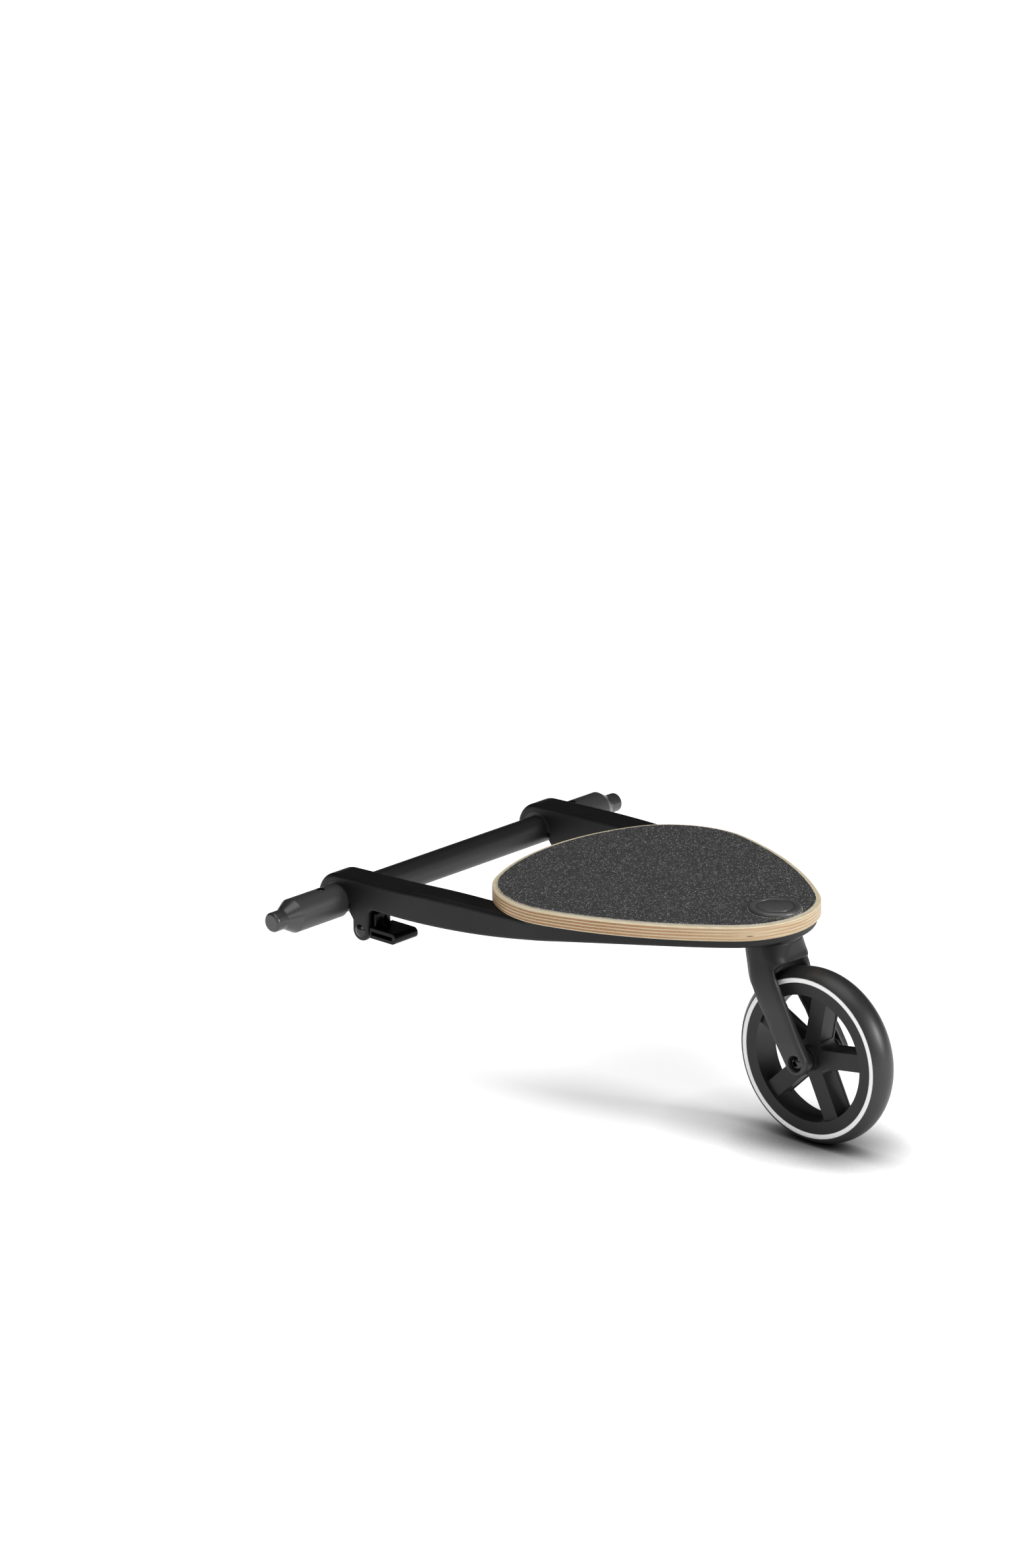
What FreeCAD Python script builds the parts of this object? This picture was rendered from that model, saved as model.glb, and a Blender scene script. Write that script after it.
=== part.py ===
"""Buggy board: a ride-on board that clips over the rear cross bar of a baby carriage.

Lengths are millimetres. The model is drawn with the bar axis at y = 0, the board running
back along -Y and the floor at z = 0; at the end every piece moves forward by CENTRE_SHIFT,
so that the origin lies on the floor under the middle of the object.
"""
import math
import os

import FreeCAD
import Part

V = FreeCAD.Vector

# Overall sizes
WHEEL_D = 150.0         # caster wheel, over the tyre
SET_BACK = 408.6        # bar axis to wheel axle, along the floor
TRAIL = 46.6            # swivel axis to wheel axle
HUB_SPACING = 253.5     # hub centre to hub centre
BAR_LENGTH = 390.0      # over the two bar sleeves

# Heights, stacked up from the tyre
CROWN_RISE = 18.0       # tyre top to fork crown top
SWIVEL_GAP = 2.0        # fork crown to frame rim
TRAY_H = 7.2            # frame rim at the rear tip
DECK_T = 12.0           # plywood
GRIP_T = 0.8            # grip sheet
HUB_DROP = 4.2          # deck underside to hub top

# Deck outline: tip circle, two front corner circles, and the arcs that join them
TIP_Y = -314.9
TIP_R = 70.3
CORNER_X = 54.3
CORNER_Y = -205.3
CORNER_R = 74.1
SIDE_R = 338.0
FRONT_R = 205.2
DECK_MARGIN = 4.5       # bare plywood round the grip sheet
RIM_INSET = 3.0         # plywood edge to frame edge

# Cross bar
BAR_D = 25.0
BAR_WALL = 2.0
SLEEVE_D = 29.4
SHOULDER_L = 11.5       # conical part of the end plug
STUB_D = 17.0
STUB_L = 13.0
STUB_ROUND = 2.5
SPIGOT_L = 20.0         # end plug inside the tube
SLEEVE_SCREW_X = 160.0
SCREW_HEAD_R = 3.5
SCREW_HEAD_H = 1.6
SCREW_CHAMFER = 0.5
SCREW_SOCKET_R = 1.25
SCREW_SOCKET_H = 0.9
SCREW_R = 2.0

# Hubs, arms and latch ears of the frame
HUB_W = 27.5
HUB_R = 23.0
LINER_R = 16.0          # hub bore, outside of the liner
MOUTH_FRONT = -25.0     # degrees round the bar where the hook's front lip ends
MOUTH_REAR = 205.0      # degrees round the bar where the hook meets the ear
LINER_REAR = 180.0      # the liner stops short, so that the catch can pass
ARM_KINK_Y = -68.0      # arms run straight to here, then draw in
KINK_R = 600.0
SLOPE_R = 1000.0
ARM_W = 25.0            # skirt width along the deck side
WALL = 3.2
SKIN = 3.0
EDGE_ROUND = 4.0
UNDER_ROUND = 2.4       # lower outer edge of skirt and rim
ARM_DROP = 0.5          # arm underside below the bar axis
POCKET_END_Y = -43.0    # rear wall of the latch pocket
POCKET_FRONT_Y = -8.0   # the pocket opens into the hub's mouth
POCKET_RISE = 3.0       # room over the bar axis for the catch to swing up
CLIMB_Y = -75.0         # the underside starts to climb here
LEVEL_Y = -335.0        # and is level with the rim from here back
PIN_Y = -27.0
PIN_DROP = 21.2         # latch pin below the bar axis
EAR_R = 9.2
EAR_T = 4.5
EAR_FILLET = 6.0
EAR_TOP = 11.0          # ear's front edge ends this far below the bar axis
RIB_T = 2.4
ARM_RIBS_Y = (-78.0, -110.0, -142.0, -174.0)
SKIRT_RIBS_Y = (-222.0, -256.0, -290.0, -324.0)
TRAY_RIBS_X = (-40.0, 0.0, 40.0)
TRAY_RIBS_Y = (-180.0, -255.0)
DECK_SCREWS = ((84.0, -160.0), (78.0, -226.0), (34.0, -300.0))
DECK_SCREW_L = 15.0
DECK_SCREW_HEAD_R = 4.0
DECK_SCREW_BOSS_R = 6.0

# Latch lever
LATCH_SIDE_GAP = 0.5
LATCH_PIN_R = 2.5
PIN_HEAD_R = 5.5
PIN_HEAD_H = 2.2
PIN_TAIL_R = 4.0
PIN_TAIL_H = 1.2
CATCH_GAP = 0.35
CATCH_T = 3.8
CATCH_FROM = -165.0     # degrees round the bar
CATCH_TO = -143.0       # stops at the line from bar to pin, so that it swings clear
NOSE_LOW = (0.85, -0.6)     # ahead of and above the pin, in boss radii
NOSE_HIGH = (0.9, 2.1)
TAB_L = 29.4
TAB_H = 9.0
TAB_ABOVE = 5.25        # tab top above the pin
TAB_GAP = 2.4           # ear to tab
TAB_NOSE = 4.2          # round rear end of the tab
TAB_WALL = 1.4
TAB_DEPTH = 10.0
UPRIGHT_H = 11.0
SPRING_SLOT = 7.6
SPRING_SLOT_R = 7.6
SPRING_R = 4.8
SPRING_WIRE = 1.1
SPRING_TURNS = 3
SPRING_PITCH = 1.9

# Swivel
BOSS_R = 20.0
BOSS_TOP_R = 17.0
BOSS_RISE = 5.0         # boss above the deck underside
BUSH_R = 9.0
BUSH_FLANGE_R = 12.0
BUSH_FLANGE_T = 1.5
BUSH_L = 6.0
STEM_R = 6.0
STEM_SEAT = 20.0        # stem inside the fork crown
STEM_TOP_R = 11.0
STEM_WASHER_T = 1.1
CLIP_T = 0.9
CLIP_R = 8.6
CLIP_GROOVE = 0.8
CLIP_MOUTH = 8.4
STEM_END = 1.6
THRUST_R = 22.0
CAP_R = 22.0
CAP_H = 3.4
CAP_BEVEL = 1.4
CAP_PLUG_WALL = 1.8
CAP_PLUG_L = 5.0
CAP_RING_R = 14.5
CAP_RING_W = 1.6
CAP_RING_DEPTH = 0.5

# Fork
CROWN_R = 24.6
CROWN_ROUND = 24.2      # corner radius at the top, nearly a full circle
CROWN_NECK_H = 13.0     # below the top the section is a rounded square
NECK_BACK = 24.0
NECK_FRONT = 19.5
NECK_ROUND_BACK = 13.0
NECK_ROUND_FRONT = 19.0
CROWN_H = 40.0          # crown top to the foot of the web ahead of the tyre
FOOT_HALF_W = 20.5
FOOT_FRONT = 10.0
FOOT_ROUND = 11.0
WEB_ARCH_R = 22.0       # arch in the foot of the web
WEB_ARCH_RISE = 4.0
HEEL_R = 11.0           # hollow from the crown's rear face into the leg's rear edge
HEEL_Y = -26.6          # its centre, from the swivel axis
HEEL_DROP = 27.5        # and below the crown top
ARCH_GAP = 4.0          # tyre to fork, all round
ARCH_ROUND = 9.0
LEG_RAKE = 32.0         # degrees from upright
LEG_HALF_W = 11.4
LEG_BEND_R = 40.0
LEG_OFFSET = -4.0       # leg centre behind the swivel axis, at the crown
LEG_IN_TOP = 19.2
LEG_OUT_TOP = 24.4
LEG_IN = 20.6
LEG_OUT = 29.7
LEG_ROUND = 3.8
FLARE_R = 90.0
FLARE_TOP = 20.0        # below the crown top
LEG_TOP = 12.5          # leg's upper end inside the crown, below its top
FLARE_END = 15.0        # above the axle
AXLE_R = 4.0
AXLE_RECESS_R = 6.7
AXLE_SEAT = 5.0         # recess floor, from the leg's outer face
AXLE_HEAD_R = 5.4
AXLE_HEAD_H = 3.8
AXLE_DOME = 1.6
AXLE_SOCKET_R = 2.5
AXLE_SOCKET_H = 2.4
NUT_FLATS = 13.0
NUT_H = 6.5

# Wheel
HUB_HALF_W = 15.5
WHEEL_HUB_R = 10.8
HUB_RING_X = 12.4       # groove round the hub
HUB_RING_W = 0.9
HUB_RING_DEPTH = 0.8
BEARING_R = 8.0
BEARING_W = 5.0
RACE_T = 1.3
SHIELD_DIP = 0.4
SPACER_BIG_R = 10.3
SPACER_SMALL_R = 8.8
SPOKES = 5
SPOKE_LEAN = 9.5        # degrees, first spoke behind upright
SPOKE_W = 15.0
SPOKE_HALF_DEPTH = 9.7
SPOKE_EDGE_T = 1.8      # edge flange left by the shallow side recess
SPOKE_RECESS = 0.6
SPOKE_ROUND = 4.0       # between two spokes at the hub
RIM_HALF_W = 12.6
BARREL_DEPTH = 21.0     # rim's inner face below the tread
SEAT_DEPTH = 16.8       # tyre seat below the tread
FLANGE_DEPTH = 10.8     # rim flange edge below the tread
FLANGE_T = 3.2
TYRE_HALF_W = 13.2
TREAD_EDGE = 6.1        # tread arc's edge below its crown
REFLECTOR_W = 4.2
REFLECTOR_T = 1.0

# Clearances between pieces
RUN_FIT = 0.05          # radial, shaft in a hole that turns
SEAT_FIT = 0.10         # between pieces that stay put
SIDE_GAP = 0.40         # along the axis, hub to sleeve
FACE_GAP = 0.15         # along the axis, spacer to bearing
JOIN_LAP = 0.1          # volumes of one piece that are joined run into each other this far
PICK = 0.1              # nearness when edges are chosen by place

# Worked-out places
WHEEL_R = WHEEL_D / 2
AXLE_Y = -SET_BACK
AXLE_Z = WHEEL_R
CROWN_Y = AXLE_Y + TRAIL
CROWN_TOP = WHEEL_D + CROWN_RISE
TRAY_BOTTOM = CROWN_TOP + SWIVEL_GAP
TRAY_TOP = TRAY_BOTTOM + TRAY_H
DECK_TOP = TRAY_TOP + DECK_T
GRIP_TOP = DECK_TOP + GRIP_T
BAR_Z = TRAY_TOP - HUB_DROP - HUB_R
BAR_R = BAR_D / 2
SLEEVE_R = SLEEVE_D / 2
STUB_R = STUB_D / 2
BAR_HALF = BAR_LENGTH / 2
HUB_IN = (HUB_SPACING - HUB_W) / 2
HUB_OUT = (HUB_SPACING + HUB_W) / 2
ARM_BOTTOM = BAR_Z - ARM_DROP
PIN_Z = BAR_Z - PIN_DROP
RIM_OFF = DECK_MARGIN - RIM_INSET
BOSS_TOP = TRAY_TOP + BOSS_RISE
CENTRE_SHIFT = (SET_BACK + WHEEL_R - HUB_R) / 2
BIG = 400.0
UP = V(0, 0, 1)
ACROSS = V(1, 0, 0)


def polar(radius, degrees):
    """Point round the bar axis, degrees up from straight ahead, as (y, z)."""
    angle = math.radians(degrees)
    return radius * math.cos(angle), BAR_Z + radius * math.sin(angle)


def side_point(yz, x=0.0):
    return V(x, yz[0], yz[1])


def side_line(a, b):
    return Part.LineSegment(side_point(a), side_point(b)).toShape()


def side_arc(a, b, c):
    return Part.Arc(side_point(a), side_point(b), side_point(c)).toShape()


def side_polygon(points):
    """Face in the YZ plane from a list of (y, z)."""
    corners = [side_point(p) for p in points]
    return Part.Face(Part.makePolygon(corners + corners[:1]))


def across(face, x0, x1):
    """Push a face that lies in the YZ plane across, from x0 to x1."""
    moved = face.copy()
    moved.translate(V(x0, 0, 0))
    return moved.extrude(V(x1 - x0, 0, 0))


def upward(face, z0, z1):
    """Push a face that lies in the XY plane up, from z0 to z1."""
    moved = face.copy()
    moved.translate(V(0, 0, z0))
    return moved.extrude(V(0, 0, z1 - z0))


def rod_x(radius, x0, x1, y=0.0, z=0.0):
    return Part.makeCylinder(radius, x1 - x0, V(x0, y, z), ACROSS)


def rod_z(radius, z0, z1, x=0.0, y=0.0):
    return Part.makeCylinder(radius, z1 - z0, V(x, y, z0), UP)


def tube_x(outer, inner, x0, x1, y=0.0, z=0.0):
    return rod_x(outer, x0, x1, y, z).cut(rod_x(inner, x0, x1, y, z))


def tube_z(outer, inner, z0, z1, x=0.0, y=0.0):
    return rod_z(outer, z0, z1, x, y).cut(rod_z(inner, z0, z1, x, y))


def block(x0, x1, y0, y1, z0, z1):
    return Part.makeBox(x1 - x0, y1 - y0, z1 - z0, V(x0, y0, z0))


def turned_x(points, y, z):
    """Ring turned about an axis along X through (y, z), from (x, radius) corners."""
    corners = [V(x, y, z + r) for x, r in points]
    face = Part.Face(Part.makePolygon(corners + corners[:1]))
    return face.revolve(V(0, y, z), ACROSS, 360)


def mirrored(shape):
    return shape.mirror(V(0, 0, 0), ACROSS)


def hexagon(half_flats, i):
    """Corner i of a hexagon, from half its width across flats."""
    radius = half_flats / math.cos(math.pi / 6)
    return radius * math.cos(i * math.pi / 3), radius * math.sin(i * math.pi / 3)


def toward(a, b):
    """Unit vector from a to b, in plan."""
    d = math.hypot(b[0] - a[0], b[1] - a[1])
    return (b[0] - a[0]) / d, (b[1] - a[1]) / d


def plan_arc(centre, radius, start, end):
    """Arc in plan between two directions from a centre, the short way round."""
    mid = (start[0] + end[0], start[1] + end[1])
    size = math.hypot(*mid)
    steps = [start, (mid[0] / size, mid[1] / size), end]
    points = [V(centre[0] + radius * s[0], centre[1] + radius * s[1], 0) for s in steps]
    return Part.Arc(*points).toShape()


def outline(off):
    """Face of the deck outline, moved outward by off: six arcs, each tangent to the next."""
    tip = (0.0, TIP_Y)
    corner = (CORNER_X, CORNER_Y)
    reach_tip = SIDE_R - TIP_R
    reach_corner = SIDE_R - CORNER_R
    apart = math.hypot(CORNER_X, CORNER_Y - TIP_Y)
    along = (reach_tip ** 2 - reach_corner ** 2 + apart ** 2) / (2 * apart)
    aside = math.sqrt(reach_tip ** 2 - along ** 2)
    ux, uy = toward(tip, corner)
    side = (along * ux - aside * uy, TIP_Y + along * uy + aside * ux)
    front = (0.0, CORNER_Y - math.sqrt((FRONT_R - CORNER_R) ** 2 - CORNER_X ** 2))
    to_tip = toward(side, tip)
    to_corner = toward(side, corner)
    to_front = toward(front, corner)
    half = [
        plan_arc(tip, TIP_R + off, (0.0, -1.0), to_tip),
        plan_arc(side, SIDE_R + off, to_tip, to_corner),
        plan_arc(corner, CORNER_R + off, to_corner, to_front),
        plan_arc(front, FRONT_R + off, to_front, (0.0, 1.0)),
    ]
    edges = half + [mirrored(e) for e in half]
    return Part.Face(Part.Wire(Part.__sortEdges__(edges)))


def arm_line(inset, front_y):
    """Points of the arm's outer line, drawn in by inset: straight back, then to the front corner circle."""
    px, py = HUB_OUT - inset, ARM_KINK_Y
    radius = CORNER_R + RIM_OFF - inset
    apart = math.hypot(CORNER_X - px, CORNER_Y - py)
    heading = math.atan2(CORNER_Y - py, CORNER_X - px) + math.asin(radius / apart)
    length = math.sqrt(apart ** 2 - radius ** 2)
    return [(px, front_y), (px, py), (px + length * math.cos(heading), py + length * math.sin(heading))]


def bent_line(points, radius):
    """Edges in plan along points, with an arc of that radius in place of each corner between."""
    edges = []
    last = V(*points[0], 0)
    for before, bend, after in zip(points, points[1:], points[2:]):
        ax, ay = toward(bend, before)
        bx, by = toward(bend, after)
        turn = math.pi - math.acos(ax * bx + ay * by)
        reach = radius * math.tan(turn / 2)
        sag = radius * (1 / math.cos(turn / 2) - 1)
        mx, my = toward((0, 0), (ax + bx, ay + by))
        a = V(bend[0] + reach * ax, bend[1] + reach * ay, 0)
        middle = V(bend[0] + sag * mx, bend[1] + sag * my, 0)
        b = V(bend[0] + reach * bx, bend[1] + reach * by, 0)
        edges += [Part.LineSegment(last, a).toShape(), Part.Arc(a, middle, b).toShape()]
        last = b
    edges.append(Part.LineSegment(last, V(*points[-1], 0)).toShape())
    return edges


def arm_plan(inset, front_y):
    """Plan face of the right arm, its walls drawn in by inset."""
    outer = arm_line(inset, front_y)
    inner_x = HUB_IN + inset
    end_x, end_y = outer[-1]
    inner = [(inner_x, front_y), (inner_x, ARM_KINK_Y), (end_x - ARM_W + 2 * inset, end_y)]
    edges = bent_line(outer, KINK_R) + bent_line(inner, KINK_R)
    for a, b in ((outer[0], inner[0]), (outer[-1], inner[-1])):
        edges.append(Part.LineSegment(V(*a, 0), V(*b, 0)).toShape())
    return Part.Face(Part.Wire(Part.__sortEdges__(edges)))


def deck_front_y():
    """Where the deck's front edge crosses the middle."""
    reach = math.sqrt((FRONT_R - CORNER_R) ** 2 - CORNER_X ** 2)
    return CORNER_Y - reach + FRONT_R + DECK_MARGIN


def top_slope():
    """Tangent point on the hub and the point where the arm meets the deck underside."""
    meet = (deck_front_y(), TRAY_TOP)
    dy, dz = meet[0], meet[1] - BAR_Z
    angle = math.atan2(dz, dy) - math.acos(HUB_R / math.hypot(dy, dz))
    return math.degrees(angle), meet


def side_profile():
    """Side view of the frame: hook, sloping arm top, rim, underside and latch ear."""
    tangent_angle, meet = top_slope()
    leave = polar(HUB_R, tangent_angle)
    dy, dz = toward(leave, meet)
    tilt = math.atan2(dz, -dy)
    reach = SLOPE_R * math.tan(tilt / 2)
    bend_start = (meet[0] - reach * dy, meet[1] - reach * dz)
    bend_end = (meet[0] - reach, meet[1])
    sag = SLOPE_R * (1 / math.cos(tilt / 2) - 1)
    bend_mid = (meet[0] - sag * math.sin(tilt / 2), meet[1] - sag * math.cos(tilt / 2))
    back = 2 * TIP_Y
    lip_out = polar(HUB_R, MOUTH_FRONT)
    lip_in = polar(LINER_R, MOUTH_FRONT)
    rear_in = polar(LINER_R, MOUTH_REAR)
    ear_back = PIN_Y - EAR_R
    ear_front = PIN_Y + EAR_R
    run = CLIMB_Y - LEVEL_Y
    rise = TRAY_BOTTOM - ARM_BOTTOM
    sweep = math.atan2(rise, run)
    climb_r = run / 2 / math.sin(2 * sweep)
    bow_y = climb_r * math.sin(sweep)
    bow_z = climb_r * (1 - math.cos(sweep))
    middle = ((CLIMB_Y + LEVEL_Y) / 2, (ARM_BOTTOM + TRAY_BOTTOM) / 2)
    quarter = EAR_FILLET * (1 - math.sqrt(0.5))
    edges = [
        side_arc(lip_out, polar(HUB_R, (MOUTH_FRONT + tangent_angle) / 2), leave),
        side_line(leave, bend_start),
        side_arc(bend_start, bend_mid, bend_end),
        side_line(bend_end, (back, TRAY_TOP)),
        side_line((back, TRAY_TOP), (back, TRAY_BOTTOM)),
        side_line((back, TRAY_BOTTOM), (LEVEL_Y, TRAY_BOTTOM)),
        side_arc((LEVEL_Y, TRAY_BOTTOM), (LEVEL_Y + bow_y, TRAY_BOTTOM - bow_z), middle),
        side_arc(middle, (CLIMB_Y - bow_y, ARM_BOTTOM + bow_z), (CLIMB_Y, ARM_BOTTOM)),
        side_line((CLIMB_Y, ARM_BOTTOM), (ear_back - EAR_FILLET, ARM_BOTTOM)),
        side_arc((ear_back - EAR_FILLET, ARM_BOTTOM), (ear_back - quarter, ARM_BOTTOM - quarter),
                 (ear_back, ARM_BOTTOM - EAR_FILLET)),
        side_line((ear_back, ARM_BOTTOM - EAR_FILLET), (ear_back, PIN_Z)),
        side_arc((ear_back, PIN_Z), (PIN_Y, PIN_Z - EAR_R), (ear_front, PIN_Z)),
        side_line((ear_front, PIN_Z), (ear_front, BAR_Z - EAR_TOP)),
        side_line((ear_front, BAR_Z - EAR_TOP), rear_in),
        side_arc(rear_in, polar(LINER_R, 90), lip_in),
        side_line(lip_in, lip_out),
    ]
    return Part.Face(Part.Wire(edges))


def hollow_side():
    """Side view of the space under the frame's skin."""
    _, meet = top_slope()
    front = POCKET_END_Y - WALL
    slope = (TRAY_TOP - BAR_Z - HUB_R) / -meet[0]
    ceiling = TRAY_TOP - SKIN
    front_ceiling = ceiling - slope * (front - meet[0]) - SKIN / 2
    return side_polygon([(front, 0), (front, front_ceiling), (meet[0], ceiling - SKIN / 2),
                         (meet[0] - SKIN, ceiling), (-BIG, ceiling), (-BIG, 0)])


def soften_arm(arm):
    """Round the arm's top edges, outside and inside, along hub and slope."""
    rear = arm_line(0.0, 0.0)[-1][1]
    edges = []
    for edge in arm.Edges:
        box = edge.BoundBox
        runs_back = box.YLength > 2 * box.XLength and box.YLength > EDGE_ROUND / 2
        high = box.ZMin > BAR_Z - HUB_R and box.ZMax > BAR_Z + HUB_R / 2
        clear_of_end = box.YMax > rear + EDGE_ROUND
        in_bore = abs(box.ZMax - BAR_Z - LINER_R) < PICK
        if runs_back and high and clear_of_end and not in_bore:
            edges.append(edge)
    return arm.makeFillet(EDGE_ROUND, edges)


def soften_underside(solid, wall):
    """Round the lower outer edge, where solid's walls follow the plan line wall."""
    edges = []
    for edge in solid.Edges:
        box = edge.BoundBox
        middle = edge.valueAt((edge.FirstParameter + edge.LastParameter) / 2)
        on_wall = wall.distToShape(Part.Vertex(V(middle.x, middle.y, 0)))[0] < PICK
        along = box.XLength + box.YLength > 2 * box.ZLength
        if on_wall and along and box.ZMax < TRAY_BOTTOM + PICK and box.YMax < PIN_Y - EAR_R:
            edges.append(edge)
    return solid.makeFillet(UNDER_ROUND, edges)


def frame():
    """One moulding: hooked hubs with latch ears, hollow arms, ribbed tray, caster boss."""
    profile = side_profile()
    arm_wall = Part.Wire(bent_line(arm_line(0.0, 0.0), KINK_R))
    rim_wall = outline(RIM_OFF).OuterWire
    split_y = arm_line(0.0, 0.0)[-1][1]
    arm = upward(arm_plan(0.0, 2 * HUB_R), 0, BIG).common(across(profile, 0, BIG))
    arm = soften_arm(arm)
    skirt = upward(outline(RIM_OFF), 0, TRAY_TOP).cut(upward(outline(RIM_OFF - ARM_W), 0, TRAY_TOP))
    skirt = skirt.common(across(profile, -BIG, BIG))
    skirt = skirt.common(block(-BIG, BIG, -2 * BIG, split_y, 0, BIG))
    sides = arm.multiFuse([mirrored(arm), skirt]).removeSplitter()
    sides = soften_underside(sides, Part.makeCompound([arm_wall, mirrored(arm_wall), rim_wall]))
    plate = upward(outline(RIM_OFF), TRAY_TOP - SKIN, TRAY_TOP)
    rim = upward(outline(RIM_OFF), TRAY_BOTTOM, TRAY_TOP)
    rim = soften_underside(rim, rim_wall)
    rim = rim.cut(upward(outline(RIM_OFF - WALL), TRAY_BOTTOM, TRAY_TOP))
    floor = upward(outline(RIM_OFF - WALL / 2), TRAY_BOTTOM, TRAY_TOP)
    half = RIB_T / 2
    grid = [block(x - half, x + half, -2 * BIG, BIG, TRAY_BOTTOM, TRAY_TOP) for x in TRAY_RIBS_X]
    grid += [block(-BIG, BIG, y - half, y + half, TRAY_BOTTOM, TRAY_TOP) for y in TRAY_RIBS_Y]
    ribs = floor.common(grid[0].multiFuse(grid[1:]))
    body = sides.multiFuse([plate, rim, ribs])
    for space in hollows(split_y):
        body = body.cut(space)
    bosses = [rod_z(BOSS_R, CROWN_TOP + SWIVEL_GAP, TRAY_TOP, 0, CROWN_Y),
              rod_z(BOSS_TOP_R, TRAY_TOP, BOSS_TOP, 0, CROWN_Y)]
    bosses += [rod_z(DECK_SCREW_BOSS_R, TRAY_BOTTOM, TRAY_TOP, x, y) for x, y in deck_screw_places()]
    body = body.multiFuse(bosses)
    body = body.cut(Part.makeCompound(frame_holes()))
    return body.removeSplitter()


def hollows(split_y):
    """Space under the arms and along the skirts, with the cross ribs left standing."""
    side = across(hollow_side(), -BIG, BIG)
    arm = upward(arm_plan(WALL, 0.0), 0, BIG)
    skirt = upward(outline(RIM_OFF - WALL), 0, BIG).cut(upward(outline(RIM_OFF - ARM_W + WALL), 0, BIG))
    skirt = skirt.common(block(-BIG, BIG, -2 * BIG, split_y, 0, BIG))
    ribs = [block(-BIG, BIG, y - RIB_T / 2, y + RIB_T / 2, 0, BIG) for y in ARM_RIBS_Y + SKIRT_RIBS_Y]
    ribs = Part.makeCompound(ribs)
    return [space.common(side).cut(ribs) for space in (arm, mirrored(arm), skirt)]


def deck_screw_places():
    return [(side * x, y) for x, y in DECK_SCREWS for side in (-1, 1)]


def deck_screw(x, y):
    """Flat-head screw, head down, up into the plywood."""
    head = rod_z(DECK_SCREW_HEAD_R, TRAY_BOTTOM, TRAY_BOTTOM + SCREW_HEAD_H, x, y)
    return head.fuse(rod_z(SCREW_R, TRAY_BOTTOM + SCREW_HEAD_H, TRAY_BOTTOM + DECK_SCREW_L, x, y))


def frame_holes():
    """Latch pockets and pin holes, bush seats and screw holes."""
    x0 = HUB_IN + EAR_T
    x1 = HUB_OUT - EAR_T
    pocket = block(x0, x1, POCKET_END_Y, POCKET_FRONT_Y, 0, BAR_Z + POCKET_RISE)
    core = block(x0, x1, POCKET_END_Y, -HUB_R - SKIN, BAR_Z, BAR_Z + HUB_R - SKIN)
    pin = rod_x(LATCH_PIN_R, HUB_IN - EAR_T, HUB_OUT + EAR_T, PIN_Y, PIN_Z)
    holes = []
    for hole in (pocket.fuse(core), pin):
        holes += [hole, mirrored(hole)]
    holes.append(rod_z(BUSH_R, 0, BIG, 0, CROWN_Y))
    holes.append(rod_z(BUSH_FLANGE_R, 0, TRAY_BOTTOM + BUSH_FLANGE_T, 0, CROWN_Y))
    holes += [deck_screw(x, y) for x, y in deck_screw_places()]
    return holes


def cross_bar():
    tube = tube_x(BAR_R, BAR_R - BAR_WALL, -BAR_HALF, BAR_HALF, 0, BAR_Z)
    screws = [rod_z(SCREW_R, BAR_Z, BAR_Z + SLEEVE_R, s * SLEEVE_SCREW_X, 0) for s in (-1, 1)]
    return tube.cut(Part.makeCompound(screws))


def bar_sleeve():
    """Right-hand sleeve, from the hub's outer face to the end of the tube."""
    start = HUB_OUT + SIDE_GAP
    sleeve = rod_x(SLEEVE_R, start, BAR_HALF, 0, BAR_Z)
    sleeve = sleeve.makeChamfer(SIDE_GAP, [e for e in sleeve.Edges if e.BoundBox.XMax < start + PICK])
    sleeve = sleeve.cut(rod_x(BAR_R + SEAT_FIT, start, BAR_HALF, 0, BAR_Z))
    top = BAR_Z + SLEEVE_R
    seat = rod_z(SCREW_HEAD_R + SEAT_FIT, top - SCREW_HEAD_H, top + SLEEVE_R, SLEEVE_SCREW_X, 0)
    hole = rod_z(SCREW_R, BAR_Z, BAR_Z + SLEEVE_R, SLEEVE_SCREW_X, 0)
    return sleeve.cut(seat.fuse(hole))


def bar_plug():
    """Right-hand end plug: spigot in the tube, conical shoulder, rounded stub."""
    spigot = rod_x(BAR_R - BAR_WALL, BAR_HALF - SPIGOT_L, BAR_HALF, 0, BAR_Z)
    shoulder = Part.makeCone(SLEEVE_R, STUB_R, SHOULDER_L, V(BAR_HALF, 0, BAR_Z), ACROSS)
    end = BAR_HALF + SHOULDER_L + STUB_L
    stub = rod_x(STUB_R, BAR_HALF, end, 0, BAR_Z)
    stub = stub.makeFillet(STUB_ROUND, [e for e in stub.Edges if e.BoundBox.XMin > end - PICK])
    return spigot.multiFuse([shoulder, stub]).removeSplitter()


def sleeve_screw(side):
    """Button-head screw with a hex socket, through the sleeve into the tube wall."""
    top = BAR_Z + SLEEVE_R
    x = side * SLEEVE_SCREW_X
    head = rod_z(SCREW_HEAD_R, top - SCREW_HEAD_H, top, x, 0)
    head = head.makeChamfer(SCREW_CHAMFER, [e for e in head.Edges if e.BoundBox.ZMin > top - PICK])
    shank = rod_z(SCREW_R, BAR_Z + BAR_R - BAR_WALL, top - SCREW_HEAD_H, x, 0)
    corners = [V(x, 0, 0) + V(*hexagon(SCREW_SOCKET_R, i), 0) for i in range(6)]
    socket = upward(Part.Face(Part.makePolygon(corners + corners[:1])), top - SCREW_SOCKET_H, top)
    return head.fuse(shank).cut(socket)


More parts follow.
